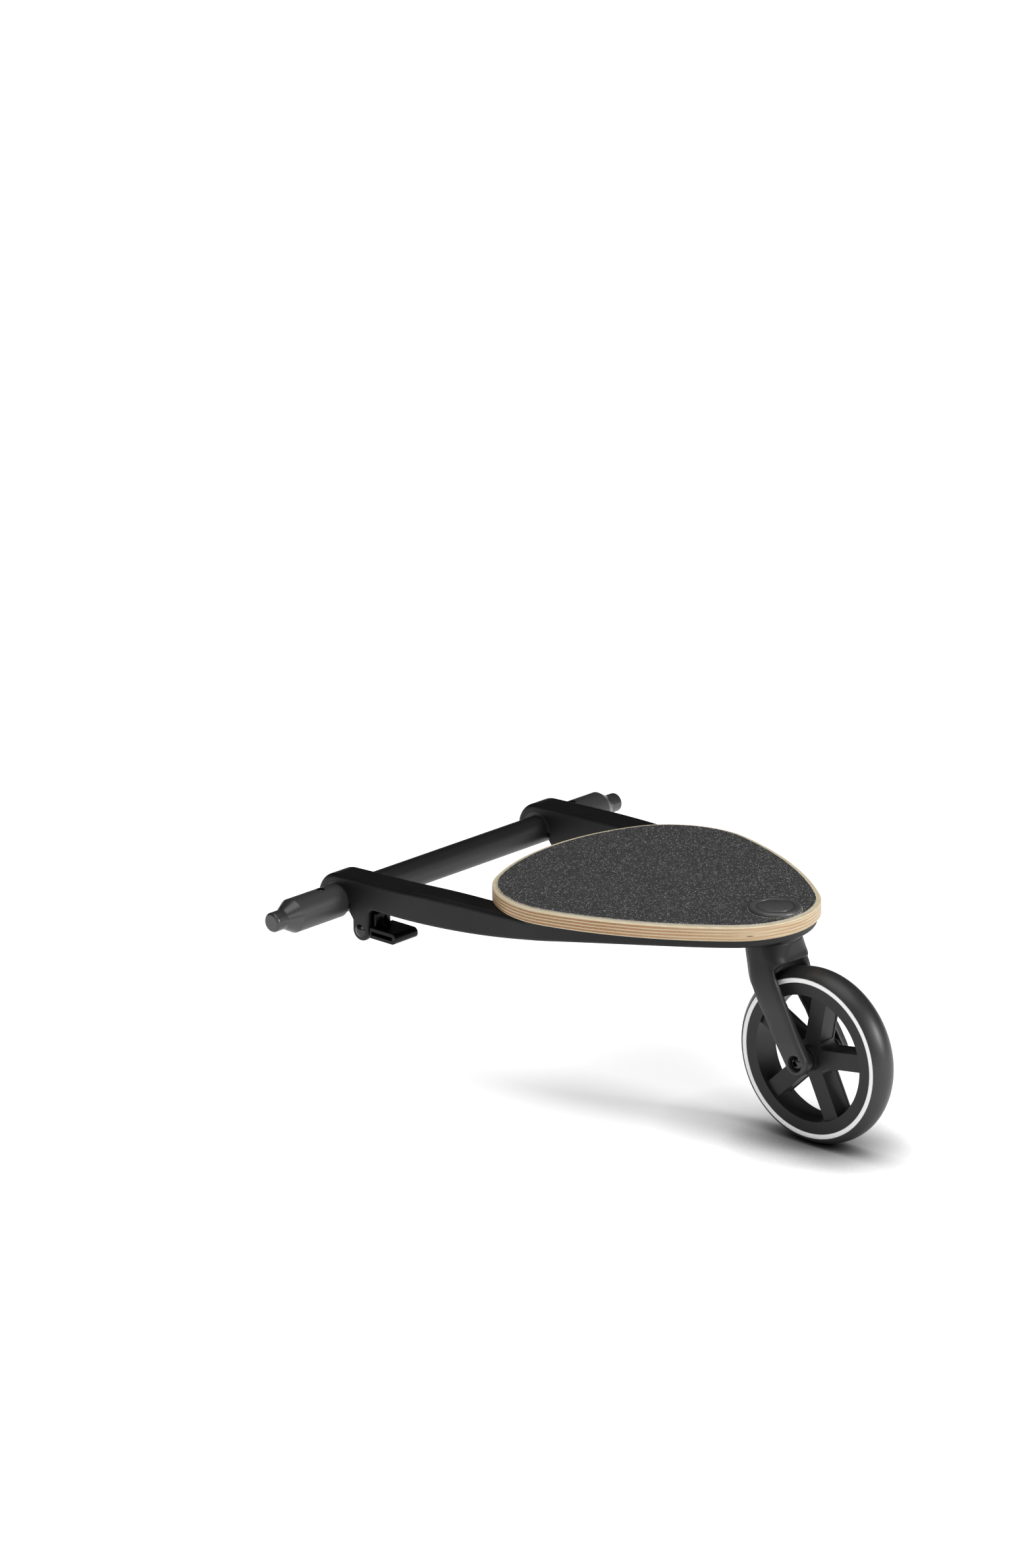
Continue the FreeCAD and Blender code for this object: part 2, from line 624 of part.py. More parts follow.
def hub_liner():
    """Right-hand liner: a partial bush between hub and bar."""
    inner = BAR_R + RUN_FIT
    outer = LINER_R - SEAT_FIT
    middle = (MOUTH_FRONT + LINER_REAR) / 2
    edges = [
        side_arc(polar(inner, MOUTH_FRONT), polar(inner, middle), polar(inner, LINER_REAR)),
        side_line(polar(inner, LINER_REAR), polar(outer, LINER_REAR)),
        side_arc(polar(outer, LINER_REAR), polar(outer, middle), polar(outer, MOUTH_FRONT)),
        side_line(polar(outer, MOUTH_FRONT), polar(inner, MOUTH_FRONT)),
    ]
    return across(Part.Face(Part.Wire(edges)), HUB_IN, HUB_OUT)


def latch_lever():
    """Right-hand lever: catch nose under the bar, pivot, spring upright and hollow finger tab."""
    x0 = HUB_IN + EAR_T + LATCH_SIDE_GAP
    x1 = HUB_OUT - EAR_T - LATCH_SIDE_GAP
    inner = BAR_R + CATCH_GAP
    outer = inner + CATCH_T
    tab_front = PIN_Y - EAR_R - TAB_GAP
    tab_back = tab_front - TAB_L
    tab_top = PIN_Z + TAB_ABOVE
    tab_bottom = tab_top - TAB_H
    boss = SPRING_SLOT_R - SEAT_FIT
    middle = (CATCH_FROM + CATCH_TO) / 2
    face = side_arc(polar(inner, CATCH_FROM), polar(inner, middle), polar(inner, CATCH_TO))
    low = (PIN_Y + boss * NOSE_LOW[0], PIN_Z + boss * NOSE_LOW[1])
    high = (PIN_Y + boss * NOSE_HIGH[0], PIN_Z + boss * NOSE_HIGH[1])
    rest = [polar(inner, CATCH_TO), polar(outer, CATCH_TO), low, (PIN_Y, PIN_Z - boss),
            (tab_front, tab_bottom), (tab_front, tab_top), (PIN_Y - boss, PIN_Z + boss),
            high, polar(outer, CATCH_FROM), polar(inner, CATCH_FROM)]
    edges = [face] + [side_line(a, b) for a, b in zip(rest, rest[1:])]
    body = across(Part.Face(Part.Wire(edges)), x0, x1)
    upright = block(x0, x1, tab_front - RIB_T, tab_front, tab_bottom + TAB_WALL, tab_top + UPRIGHT_H)
    third = (x1 - x0) / 3
    webs = []
    for step in (1, 2):
        x = x0 + step * third
        web = side_polygon([(tab_front, tab_top), (tab_front - EAR_R, tab_top),
                            (tab_front, tab_top + UPRIGHT_H)])
        webs.append(across(web, x - TAB_WALL / 2, x + TAB_WALL / 2))
    tab = block(HUB_IN, HUB_OUT, tab_back, tab_front, tab_bottom, tab_top)
    tips = [e for e in tab.Edges if e.BoundBox.ZLength < PICK and e.BoundBox.YMax < tab_back + PICK]
    tab = tab.makeFillet(TAB_NOSE, tips)
    hollow = block(HUB_OUT - TAB_DEPTH, HUB_OUT + 1, tab_back + TAB_NOSE, tab_front - TAB_WALL,
                   tab_bottom + 2 * TAB_WALL, tab_top - 2 * TAB_WALL)
    lever = body.multiFuse([upright, tab] + webs).cut(hollow)
    middle = (x0 + x1) / 2
    lever = lever.cut(rod_x(LATCH_PIN_R + RUN_FIT, x0 - 1, x1 + 1, PIN_Y, PIN_Z))
    slot = rod_x(SPRING_SLOT_R, middle - SPRING_SLOT / 2, middle + SPRING_SLOT / 2, PIN_Y, PIN_Z)
    return lever.cut(slot).removeSplitter()


def dome_x(radius, height, x, y, z):
    """Round cap of a ball, its flat side at x and its crown at x + height."""
    ball = (radius ** 2 + height ** 2) / (2 * height)
    return Part.makeSphere(ball, V(x + height - ball, y, z)).common(rod_x(radius, x, x + height, y, z))


def latch_pin():
    """Right-hand pin: domed head outside, clenched tail inside."""
    shank = rod_x(LATCH_PIN_R, HUB_IN, HUB_OUT, PIN_Y, PIN_Z)
    dome = dome_x(PIN_HEAD_R, PIN_HEAD_H, HUB_OUT, PIN_Y, PIN_Z)
    tail = rod_x(PIN_TAIL_R, HUB_IN - PIN_TAIL_H, HUB_IN, PIN_Y, PIN_Z)
    return shank.multiFuse([dome, tail]).removeSplitter()


def spring_points():
    """Quarter-turn points of the latch spring, round its pin."""
    middle = HUB_SPACING / 2
    count = 4 * SPRING_TURNS
    points = []
    for i in range(2 * count + 1):
        angle = i * math.pi / 4
        x = middle + (i / (2 * count) - 0.5) * SPRING_TURNS * SPRING_PITCH
        points.append(V(x, PIN_Y + SPRING_R * math.cos(angle), PIN_Z + SPRING_R * math.sin(angle)))
    return points


def latch_spring():
    """Right-hand torsion spring: one unbroken tube on quarter-turn arcs."""
    points = spring_points()
    arcs = [Part.Arc(*points[i:i + 3]).toShape() for i in range(0, len(points) - 2, 2)]
    path = Part.Wire(arcs)
    flats = [(math.cos(i * math.pi / 3), math.sin(i * math.pi / 3)) for i in range(7)]
    ring = Part.makePolygon([points[0] + V(SPRING_WIRE / 2 * a, SPRING_WIRE / 2 * b, 0) for a, b in flats])
    gap = min((a - b).Length for i, a in enumerate(points) for b in points[i + 8:]) - SPRING_WIRE
    print("latch spring, least gap between turns:", round(gap, 2), "mm")
    return path.makePipeShell([ring], True, False)


def deck():
    """Plywood board with eased edges, a hole over the swivel and blind screw holes."""
    board = upward(outline(DECK_MARGIN), TRAY_TOP, DECK_TOP)
    flat = [e for e in board.Edges if e.BoundBox.ZLength < PICK]
    board = board.makeChamfer(GRIP_T, flat)
    board = board.cut(rod_z(BOSS_TOP_R + SEAT_FIT, 0, BIG, 0, CROWN_Y))
    return board.cut(Part.makeCompound([deck_screw(x, y) for x, y in deck_screw_places()]))


def grip_sheet():
    sheet = upward(outline(0.0), DECK_TOP, GRIP_TOP)
    return sheet.cut(rod_z(BOSS_TOP_R + SEAT_FIT, 0, BIG, 0, CROWN_Y))


def pivot_cap():
    """Bare round cap over the swivel, with a bevelled edge, one shallow ring and a push-in skirt."""
    top = GRIP_TOP + CAP_H
    cap = rod_z(CAP_R, GRIP_TOP, top, 0, CROWN_Y)
    cap = cap.makeChamfer(CAP_BEVEL, [e for e in cap.Edges if e.BoundBox.ZMin > top - PICK])
    ring = tube_z(CAP_RING_R, CAP_RING_R - CAP_RING_W, top - CAP_RING_DEPTH, top, 0, CROWN_Y)
    skirt = tube_z(BOSS_TOP_R, BOSS_TOP_R - CAP_PLUG_WALL, GRIP_TOP - CAP_PLUG_L, GRIP_TOP, 0, CROWN_Y)
    return cap.cut(ring).fuse(skirt).removeSplitter()


def bush(z0, flange_z):
    """Flanged bush: a sleeve from z0 and a flange from flange_z."""
    inner = STEM_R + RUN_FIT
    sleeve = tube_z(BUSH_R, inner, z0, z0 + BUSH_L, 0, CROWN_Y)
    flange = tube_z(BUSH_FLANGE_R, inner, flange_z, flange_z + BUSH_FLANGE_T, 0, CROWN_Y)
    return sleeve.fuse(flange).removeSplitter()


def clip_z():
    return BOSS_TOP + BUSH_FLANGE_T + FACE_GAP + STEM_WASHER_T


def swivel_stem():
    """Steel stem, pressed into the fork crown, grooved for the clip."""
    top = clip_z() + CLIP_T + STEM_END
    stem = rod_z(STEM_R, CROWN_TOP - STEM_SEAT, top, 0, CROWN_Y)
    stem = stem.makeChamfer(CLIP_GROOVE, [e for e in stem.Edges if e.BoundBox.ZMin > top - PICK])
    groove = tube_z(2 * STEM_R, STEM_R - CLIP_GROOVE, clip_z(), clip_z() + CLIP_T, 0, CROWN_Y)
    return stem.cut(groove)


def stem_clip():
    ring = tube_z(CLIP_R, STEM_R - CLIP_GROOVE, clip_z(), clip_z() + CLIP_T, 0, CROWN_Y)
    mouth = block(-CLIP_MOUTH / 2, CLIP_MOUTH / 2, CROWN_Y, CROWN_Y + BIG, 0, BIG)
    return ring.cut(mouth)


def leg_band():
    """Side view of a fork leg: a raked band with a round end, bending upright into the crown."""
    rake = math.radians(LEG_RAKE)
    top_y = CROWN_Y + LEG_OFFSET
    corner = (top_y, AXLE_Z + (top_y - AXLE_Y) / math.tan(rake))
    reach = LEG_BEND_R * math.tan(rake / 2)
    centre = (top_y - LEG_BEND_R, corner[1] + reach)
    top_z = CROWN_TOP - LEG_TOP
    along = (math.sin(rake), math.cos(rake))
    ahead = (math.cos(rake), -math.sin(rake))
    half = math.cos(rake / 2), -math.sin(rake / 2)

    def bend(radius, direction):
        return centre[0] + radius * direction[0], centre[1] + radius * direction[1]

    front = LEG_BEND_R + LEG_HALF_W
    rear = LEG_BEND_R - LEG_HALF_W
    low_front = (AXLE_Y + LEG_HALF_W * ahead[0], AXLE_Z + LEG_HALF_W * ahead[1])
    low_rear = (AXLE_Y - LEG_HALF_W * ahead[0], AXLE_Z - LEG_HALF_W * ahead[1])
    toe = (AXLE_Y - LEG_HALF_W * along[0], AXLE_Z - LEG_HALF_W * along[1])
    edges = [
        side_line(low_front, bend(front, ahead)),
        side_arc(bend(front, ahead), bend(front, half), bend(front, (1, 0))),
        side_line(bend(front, (1, 0)), (top_y + LEG_HALF_W, top_z)),
        side_line((top_y + LEG_HALF_W, top_z), (top_y - LEG_HALF_W, top_z)),
        side_line((top_y - LEG_HALF_W, top_z), bend(rear, (1, 0))),
        side_arc(bend(rear, (1, 0)), bend(rear, half), bend(rear, ahead)),
        side_line(bend(rear, ahead), low_rear),
        side_arc(low_rear, toe, low_front),
    ]
    return Part.Face(Part.Wire(edges))


def leg():
    """Right-hand fork leg, flaring outward from crown to axle."""
    flare_top = CROWN_TOP - FLARE_TOP
    flare_end = AXLE_Z + FLARE_END
    outer = [(LEG_OUT_TOP, BIG), (LEG_OUT_TOP, flare_top), (LEG_OUT, flare_end), (LEG_OUT, 0)]
    inner = [(LEG_IN_TOP, BIG), (LEG_IN_TOP, flare_top), (LEG_IN, flare_end), (LEG_IN, 0)]
    edges = bent_line(outer, FLARE_R) + bent_line(inner, FLARE_R)
    for a, b in ((outer[0], inner[0]), (outer[-1], inner[-1])):
        edges.append(Part.LineSegment(V(*a, 0), V(*b, 0)).toShape())
    section = Part.Face(Part.Wire(Part.__sortEdges__(edges)))
    section.rotate(V(0, 0, 0), ACROSS, 90)
    section.translate(V(0, AXLE_Y + BIG, 0))
    solid = across(leg_band(), 0, BIG).common(section.extrude(V(0, -2 * BIG, 0)))
    outline_edges = []
    for edge in solid.Edges:
        box = edge.BoundBox
        on_face = box.XMin > LEG_OUT_TOP - PICK
        runs_across = box.ZLength < PICK and box.XLength < PICK
        if on_face and not runs_across:
            outline_edges.append(edge)
    return solid.makeFillet(LEG_ROUND, outline_edges)


def crown_section(drop, half_w, back, front, round_back, round_front):
    """Rounded rectangle round the swivel axis, drop below the crown top: four arcs and four lines."""
    z = CROWN_TOP - drop
    ends = []
    for i, (side, ahead) in enumerate([(1, True), (-1, True), (-1, False), (1, False)]):
        radius = round_front if ahead else round_back
        x = side * (half_w - radius)
        y = CROWN_Y + (front - radius if ahead else radius - back)
        turns = [math.radians(90 * i + turn) for turn in (0, 45, 90)]
        ends.append([V(x + radius * math.cos(a), y + radius * math.sin(a), z) for a in turns])
    edges = []
    for arc, following in zip(ends, ends[1:] + ends[:1]):
        edges.append(Part.Arc(*arc).toShape())
        edges.append(Part.LineSegment(arc[-1], following[0]).toShape())
    return Part.Wire(edges)


def crown():
    """Fork crown: round at the top, squarer at the neck, with a web that runs down ahead of the tyre."""
    sections = [
        crown_section(0.0, CROWN_R, CROWN_R, CROWN_R, CROWN_ROUND, CROWN_ROUND),
        crown_section(CROWN_NECK_H, CROWN_R, NECK_BACK, NECK_FRONT, NECK_ROUND_BACK, NECK_ROUND_FRONT),
        crown_section(CROWN_H, FOOT_HALF_W, NECK_BACK, FOOT_FRONT, FOOT_ROUND, FOOT_ROUND),
    ]
    body = Part.makeLoft(sections, True, True)
    heel_y = CROWN_Y + HEEL_Y
    heel_z = CROWN_TOP - HEEL_DROP
    heel = rod_x(HEEL_R, -BIG, BIG, heel_y, heel_z)
    behind = block(-BIG, BIG, heel_y - BIG, heel_y, 0, heel_z + HEEL_R)
    below = block(-BIG, BIG, heel_y - BIG, heel_y + HEEL_R, 0, heel_z)
    arch_z = CROWN_TOP - CROWN_H + WEB_ARCH_RISE - WEB_ARCH_R
    web_arch = Part.makeCylinder(WEB_ARCH_R, BIG, V(0, heel_y, arch_z), V(0, 1, 0))
    for space in (heel, behind, below, web_arch):
        body = body.cut(space)
    return body


def fork():
    """Moulded fork: crown, arch over the tyre, two raked legs with bolt and nut seats."""
    right = leg()
    body = crown().multiFuse([right, mirrored(right)])
    arch = rod_x(WHEEL_R + ARCH_GAP, -LEG_IN_TOP, LEG_IN_TOP, AXLE_Y, AXLE_Z)
    arch = arch.makeFillet(ARCH_ROUND, [e for e in arch.Edges if e.BoundBox.XLength < PICK])
    body = body.cut(arch)
    holes = [rod_z(STEM_R, CROWN_TOP - STEM_SEAT, CROWN_TOP, 0, CROWN_Y),
             rod_x(AXLE_R + SEAT_FIT, -BIG, BIG, AXLE_Y, AXLE_Z),
             rod_x(AXLE_RECESS_R, -BIG, AXLE_SEAT - LEG_OUT, AXLE_Y, AXLE_Z),
             hex_x(NUT_FLATS / 2 + SEAT_FIT, LEG_OUT - NUT_H, BIG)]
    return body.cut(Part.makeCompound(holes)).removeSplitter()


def hex_x(half_flats, x0, x1):
    """Hexagonal bar along the axle."""
    corners = [hexagon(half_flats, i) for i in range(6)]
    return across(side_polygon([(AXLE_Y + y, AXLE_Z + z) for y, z in corners]), x0, x1)


def axle_bolt():
    """Domed bolt with a hex socket, drawn head right and turned round to sit in the left leg."""
    seat = LEG_OUT - AXLE_SEAT
    top = seat + AXLE_HEAD_H
    rim = top - AXLE_DOME
    head = rod_x(AXLE_HEAD_R, seat, rim, AXLE_Y, AXLE_Z)
    dome = dome_x(AXLE_HEAD_R, AXLE_DOME, rim, AXLE_Y, AXLE_Z)
    shank = rod_x(AXLE_R, -LEG_OUT, seat, AXLE_Y, AXLE_Z)
    socket = hex_x(AXLE_SOCKET_R, top - AXLE_SOCKET_H, top)
    return mirrored(head.multiFuse([dome, shank]).cut(socket).removeSplitter())


def axle_nut():
    return hex_x(NUT_FLATS / 2, LEG_OUT - NUT_H, LEG_OUT).cut(rod_x(AXLE_R, 0, BIG, AXLE_Y, AXLE_Z))


def axle_spacer():
    """Right-hand stepped spacer, from leg to bearing."""
    step = (LEG_IN + HUB_HALF_W) / 2
    return turned_x([(HUB_HALF_W + FACE_GAP, AXLE_R + RUN_FIT), (HUB_HALF_W + FACE_GAP, SPACER_SMALL_R),
                     (step, SPACER_SMALL_R), (step, SPACER_BIG_R), (LEG_IN, SPACER_BIG_R),
                     (LEG_IN, AXLE_R + RUN_FIT)], AXLE_Y, AXLE_Z)


def wheel_bearing():
    """Right-hand ball bearing as one closed ring, with a recessed shield."""
    a = HUB_HALF_W - BEARING_W
    b = HUB_HALF_W
    c = b - SHIELD_DIP
    bore = AXLE_R + RUN_FIT
    inner = AXLE_R + RACE_T
    outer = BEARING_R - RACE_T
    return turned_x([(a, bore), (a, BEARING_R), (b, BEARING_R), (b, outer), (c, outer), (c, inner),
                     (b, inner), (b, bore)], AXLE_Y, AXLE_Z)


def spoke_parts():
    """Upright spoke, a deep bar, and the two shallow recesses down its sides."""
    reach = WHEEL_R - BARREL_DEPTH
    bar = block(-SPOKE_HALF_DEPTH, SPOKE_HALF_DEPTH, AXLE_Y - SPOKE_W / 2, AXLE_Y + SPOKE_W / 2,
                AXLE_Z, AXLE_Z + reach + JOIN_LAP)
    half = SPOKE_HALF_DEPTH - SPOKE_EDGE_T
    start = AXLE_Z + SPOKE_W / 2 / math.sin(math.pi / SPOKES) + SPOKE_ROUND
    recesses = []
    for side in (-1, 1):
        face = AXLE_Y + side * SPOKE_W / 2
        recesses.append(block(-half, half, face - SPOKE_RECESS, face + SPOKE_RECESS, start, AXLE_Z + reach))
    return bar, recesses


def wheel_rim():
    """Moulded wheel: hub with two bearing seats, five deep spokes, channelled barrel."""
    barrel_r = WHEEL_R - BARREL_DEPTH
    seat_r = WHEEL_R - SEAT_DEPTH
    flange_r = WHEEL_R - FLANGE_DEPTH
    w = RIM_HALF_W
    n = RIM_HALF_W - FLANGE_T
    barrel = turned_x([(-w, barrel_r), (-w, flange_r), (-n, flange_r), (-n, seat_r), (n, seat_r),
                       (n, flange_r), (w, flange_r), (w, barrel_r)], AXLE_Y, AXLE_Z)
    spokes = []
    spaces = []
    for i in range(SPOKES):
        arm, recesses = spoke_parts()
        for shape in [arm] + recesses:
            shape.rotate(V(0, AXLE_Y, AXLE_Z), ACROSS, SPOKE_LEAN + i * 360 / SPOKES)
        spokes.append(arm)
        spaces += recesses
    star = spokes[0].multiFuse(spokes[1:]).removeSplitter()
    star = star.makeFillet(SPOKE_ROUND, star_corners(star))
    hub = rod_x(WHEEL_HUB_R, -HUB_HALF_W, HUB_HALF_W, AXLE_Y, AXLE_Z)
    body = barrel.multiFuse([star, hub])
    spaces.append(rod_x((AXLE_R + BEARING_R) / 2, -HUB_HALF_W, HUB_HALF_W, AXLE_Y, AXLE_Z))
    for side in (-1, 1):
        seat = (side * HUB_HALF_W, side * (HUB_HALF_W - BEARING_W))
        spaces.append(rod_x(BEARING_R, min(seat), max(seat), AXLE_Y, AXLE_Z))
        ring_x = side * HUB_RING_X - HUB_RING_W / 2
        spaces.append(tube_x(2 * WHEEL_HUB_R, WHEEL_HUB_R - HUB_RING_DEPTH, ring_x, ring_x + HUB_RING_W,
                             AXLE_Y, AXLE_Z))
    return body.cut(Part.makeCompound(spaces)).removeSplitter()


def star_corners(star):
    """Edges along the axle where two neighbouring spokes meet."""
    reach = SPOKE_W / 2 / math.sin(math.pi / SPOKES)
    edges = []
    for edge in star.Edges:
        box = edge.BoundBox
        from_axle = math.hypot(box.Center.y - AXLE_Y, box.Center.z - AXLE_Z)
        if box.XLength > SPOKE_HALF_DEPTH and from_axle < reach + PICK:
            edges.append(edge)
    return edges


def tyre():
    """Solid rubber tyre: bead in the rim channel, side walls stepped for the rings, round tread."""
    seat_r = WHEEL_R - SEAT_DEPTH
    wall_r = WHEEL_R - FLANGE_DEPTH
    ring_r = wall_r + REFLECTOR_W
    edge_r = WHEEL_R - TREAD_EDGE
    n = RIM_HALF_W - FLANGE_T
    step = TYRE_HALF_W - REFLECTOR_T
    bead = [(n, wall_r), (step, wall_r), (step, ring_r), (TYRE_HALF_W, ring_r), (TYRE_HALF_W, edge_r)]
    right = [V(x, AXLE_Y, AXLE_Z + r) for x, r in [(n, seat_r)] + bead]
    left = [V(-p.x, p.y, p.z) for p in right]
    edges = [Part.LineSegment(a, b).toShape() for a, b in zip(right, right[1:])]
    edges += [Part.LineSegment(a, b).toShape() for a, b in zip(left, left[1:])]
    edges.append(Part.LineSegment(left[0], right[0]).toShape())
    edges.append(Part.Arc(right[-1], V(0, AXLE_Y, AXLE_Z + WHEEL_R), left[-1]).toShape())
    face = Part.Face(Part.Wire(Part.__sortEdges__(edges)))
    return face.revolve(V(0, AXLE_Y, AXLE_Z), ACROSS, 360)


def reflector():
    """Right-hand reflective ring, set into the tyre's side wall."""
    wall_r = WHEEL_R - FLANGE_DEPTH
    return tube_x(wall_r + REFLECTOR_W, wall_r, TYRE_HALF_W - REFLECTOR_T, TYRE_HALF_W, AXLE_Y, AXLE_Z)


def pieces():
    """Every piece by node name; left pieces mirror the right ones."""
    nodes = {
        "cross_bar": cross_bar(),
        "sleeve_screws": Part.makeCompound([sleeve_screw(-1), sleeve_screw(1)]),
        "frame": frame(),
        "deck": deck(),
        "grip_sheet": grip_sheet(),
        "pivot_cap": pivot_cap(),
        "deck_screws": Part.makeCompound([deck_screw(x, y) for x, y in deck_screw_places()]),
        "swivel_bush_lower": bush(TRAY_BOTTOM, TRAY_BOTTOM),
        "swivel_bush_upper": bush(BOSS_TOP - BUSH_L + BUSH_FLANGE_T, BOSS_TOP),
        "thrust_washer": tube_z(THRUST_R, STEM_R + SEAT_FIT, CROWN_TOP, TRAY_BOTTOM - FACE_GAP, 0, CROWN_Y),
        "swivel_stem": swivel_stem(),
        "stem_washer": tube_z(STEM_TOP_R, STEM_R + SEAT_FIT, clip_z() - STEM_WASHER_T, clip_z(), y=CROWN_Y),
        "stem_clip": stem_clip(),
        "fork": fork(),
        "axle_bolt": axle_bolt(),
        "axle_nut": axle_nut(),
        "wheel_rim": wheel_rim(),
        "tyre": tyre(),
    }
    pairs = {
        "bar_sleeve": bar_sleeve(),
        "bar_plug": bar_plug(),
        "hub_liner": hub_liner(),
        "latch_lever": latch_lever(),
        "latch_pin": latch_pin(),
        "latch_spring": latch_spring(),
        "axle_spacer": axle_spacer(),
        "wheel_bearing": wheel_bearing(),
        "reflector": reflector(),
    }
    for name, shape in pairs.items():
        nodes[name + "_right"] = shape
        nodes[name + "_left"] = mirrored(shape)
    return nodes


os.makedirs("parts", exist_ok=True)
for node, shape in pieces().items():
    shape.translate(V(0, CENTRE_SHIFT, 0))
    shape.exportStep("parts/" + node + ".step")
    print(node, "solids", len(shape.Solids), "valid", shape.isValid())
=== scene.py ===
# %% [markdown]
# # A buggy board, dressed for its picture
# The board's solids are already made and packed in CAD. They come in as a fixed frame that is
# never moved or reshaped. This lesson gives each solid a finish, swaps a few of them for finer
# meshes, and sets the camera and the lamps. Lengths are metres, and +Z is up.

# %% Load the fixed frame
import math

import bmesh
import bpy
from mathutils import Matrix, Vector


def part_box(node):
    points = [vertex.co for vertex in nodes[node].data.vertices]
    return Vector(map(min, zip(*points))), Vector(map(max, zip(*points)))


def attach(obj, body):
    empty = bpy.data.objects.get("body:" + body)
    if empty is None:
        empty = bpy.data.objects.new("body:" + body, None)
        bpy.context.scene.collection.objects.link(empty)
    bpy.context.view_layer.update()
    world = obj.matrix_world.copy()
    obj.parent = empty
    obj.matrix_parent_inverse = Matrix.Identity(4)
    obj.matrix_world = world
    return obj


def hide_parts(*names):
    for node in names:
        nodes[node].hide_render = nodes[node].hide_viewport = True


MM = 0.001
SIDES = {"left": -1.0, "right": 1.0}

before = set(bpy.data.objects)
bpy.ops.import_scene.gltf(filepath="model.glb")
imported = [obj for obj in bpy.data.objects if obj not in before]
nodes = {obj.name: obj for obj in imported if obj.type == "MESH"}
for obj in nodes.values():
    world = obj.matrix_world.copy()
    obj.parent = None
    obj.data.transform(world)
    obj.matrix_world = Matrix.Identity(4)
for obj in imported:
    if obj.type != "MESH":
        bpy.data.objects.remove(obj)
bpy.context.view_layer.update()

# %% [markdown]
# ## Camera
# The picture was taken from behind the board, to its left and well above it, through a long lens.
# A long lens flattens the view, so the far hub looks almost as large as the near one. The camera
# could be placed by eye, but its place, direction and lens were solved from the round wheels, so
# they are written here as numbers. The frame is 1552 by 2380 pixels, and the lens is for a 36 mm
# sensor along the tall side.

# %% Camera
CAMERA_PLACE = Vector((-3.0515, -2.5924, 1.5610))
CAMERA_LOOK = Vector((0.7068, 0.6372, -0.3072))
CAMERA_LENS, CAMERA_SENSOR = 116.58, 36.0
CAMERA_REACH = 100.0


def placed(name, data):
    """A new object in the scene that shows the data."""
    made = bpy.data.objects.new(name, data)
    bpy.context.scene.collection.objects.link(made)
    return made


def turned_to(direction):
    """The rotation that points a camera or a lamp in a direction."""
    return direction.to_track_quat("-Z", "Y").to_euler()


camera = placed("picture_camera", bpy.data.cameras.new("picture_camera"))
camera.location = CAMERA_PLACE
camera.rotation_euler = turned_to(CAMERA_LOOK)
camera.data.lens = CAMERA_LENS
camera.data.sensor_width = CAMERA_SENSOR
camera.data.clip_end = CAMERA_REACH
bpy.context.scene.camera = camera

# %% [markdown]
# ## Colour and node helpers
# Colours are easier to judge as the 0 to 255 numbers of a paint program, but shaders work in linear
# light, so one small function turns the first into the second. The others keep the node code short.
# `put` adds any node and joins its inputs, and the rest use it for the nodes that come up most:
# Math, Map Range, Mix, Noise and the coordinates of the point that is shaded.

# %% Colour and node helpers
def paint(red, green, blue):
    """Screen colour, 0 to 255, as linear RGBA."""
    def linear(value):
        share = value / 255
        return share / 12.92 if share <= 0.04045 else ((share + 0.055) / 1.055) ** 2.4
    return linear(red), linear(green), linear(blue), 1.0


def grey(level):
    """Neutral screen tone, 0 to 255, as linear RGBA."""
    return paint(level, level, level)


def put(tree, kind, inputs=None, **settings):
    """Add a node to a tree, with its settings and its inputs, each a value or another socket."""
    node = tree.nodes.new(kind)
    for name, value in settings.items():
        setattr(node, name, value)
    for name, value in (inputs or {}).items():
        if isinstance(value, bpy.types.NodeSocket):
            tree.links.new(value, node.inputs[name])
        else:
            node.inputs[name].default_value = value
    return node


def feed(node, name, socket):
    """Join a socket to one input of a node."""
    node.id_data.links.new(socket, node.inputs[name])


def sums(tree, operation, *values):
    """Output of a Math node."""
    return put(tree, "ShaderNodeMath", dict(enumerate(values)), operation=operation).outputs[0]


def times(tree, a, b):
    """Product of two values."""
    return sums(tree, "MULTIPLY", a, b)


def spread(tree, value, span, result=(0.0, 1.0)):
    """Output of a clamped Map Range node, from a span of values to a span of results."""
    ends = {"From Min": span[0], "From Max": span[1], "To Min": result[0], "To Max": result[1]}
    return put(tree, "ShaderNodeMapRange", {"Value": value, **ends}).outputs["Result"]


def mixed(tree, share, a, b):
    """Colour between a and b."""
    return put(tree, "ShaderNodeMix", {0: share, 6: a, 7: b}, data_type="RGBA").outputs[2]


def noise(tree, place, scale, detail, roughness=0.5):
    """Value of a Noise texture."""
    return put(tree, "ShaderNodeTexNoise", {"Vector": place, "Scale": scale, "Detail": detail,
                                            "Roughness": roughness}).outputs[0]


def here(tree):
    """The point that is shaded, in the object's own coordinates."""
    return put(tree, "ShaderNodeTexCoord").outputs["Object"]


def facing(tree):
    """The way the surface faces at that point."""
    return put(tree, "ShaderNodeTexCoord").outputs["Normal"]


def split(tree, vector):
    """X, Y and Z of a vector."""
    return put(tree, "ShaderNodeSeparateXYZ", {0: vector}).outputs


print("mid grey in linear light:", round(grey(128)[0], 3))

# %% [markdown]
# ## Lamps and sky
# Black plastic shows its shape only by what it mirrors, so the lamps matter more than the paint.
# Large area lamps act as soft boxes: two behind the board, one to its left and one overhead. The
# strongest, behind and to the right, draws the soft bright band along the tyre and the bar. The sky
# has three strengths, chosen by the kind of ray. The camera sees it white, dull surfaces get a soft
# fill from it, and glossy ones mirror it nearly dark, so that level black faces stay black. An even
# sky needs no map of where it is bright, so its sampling is switched off. The Standard view
# transform keeps white white.

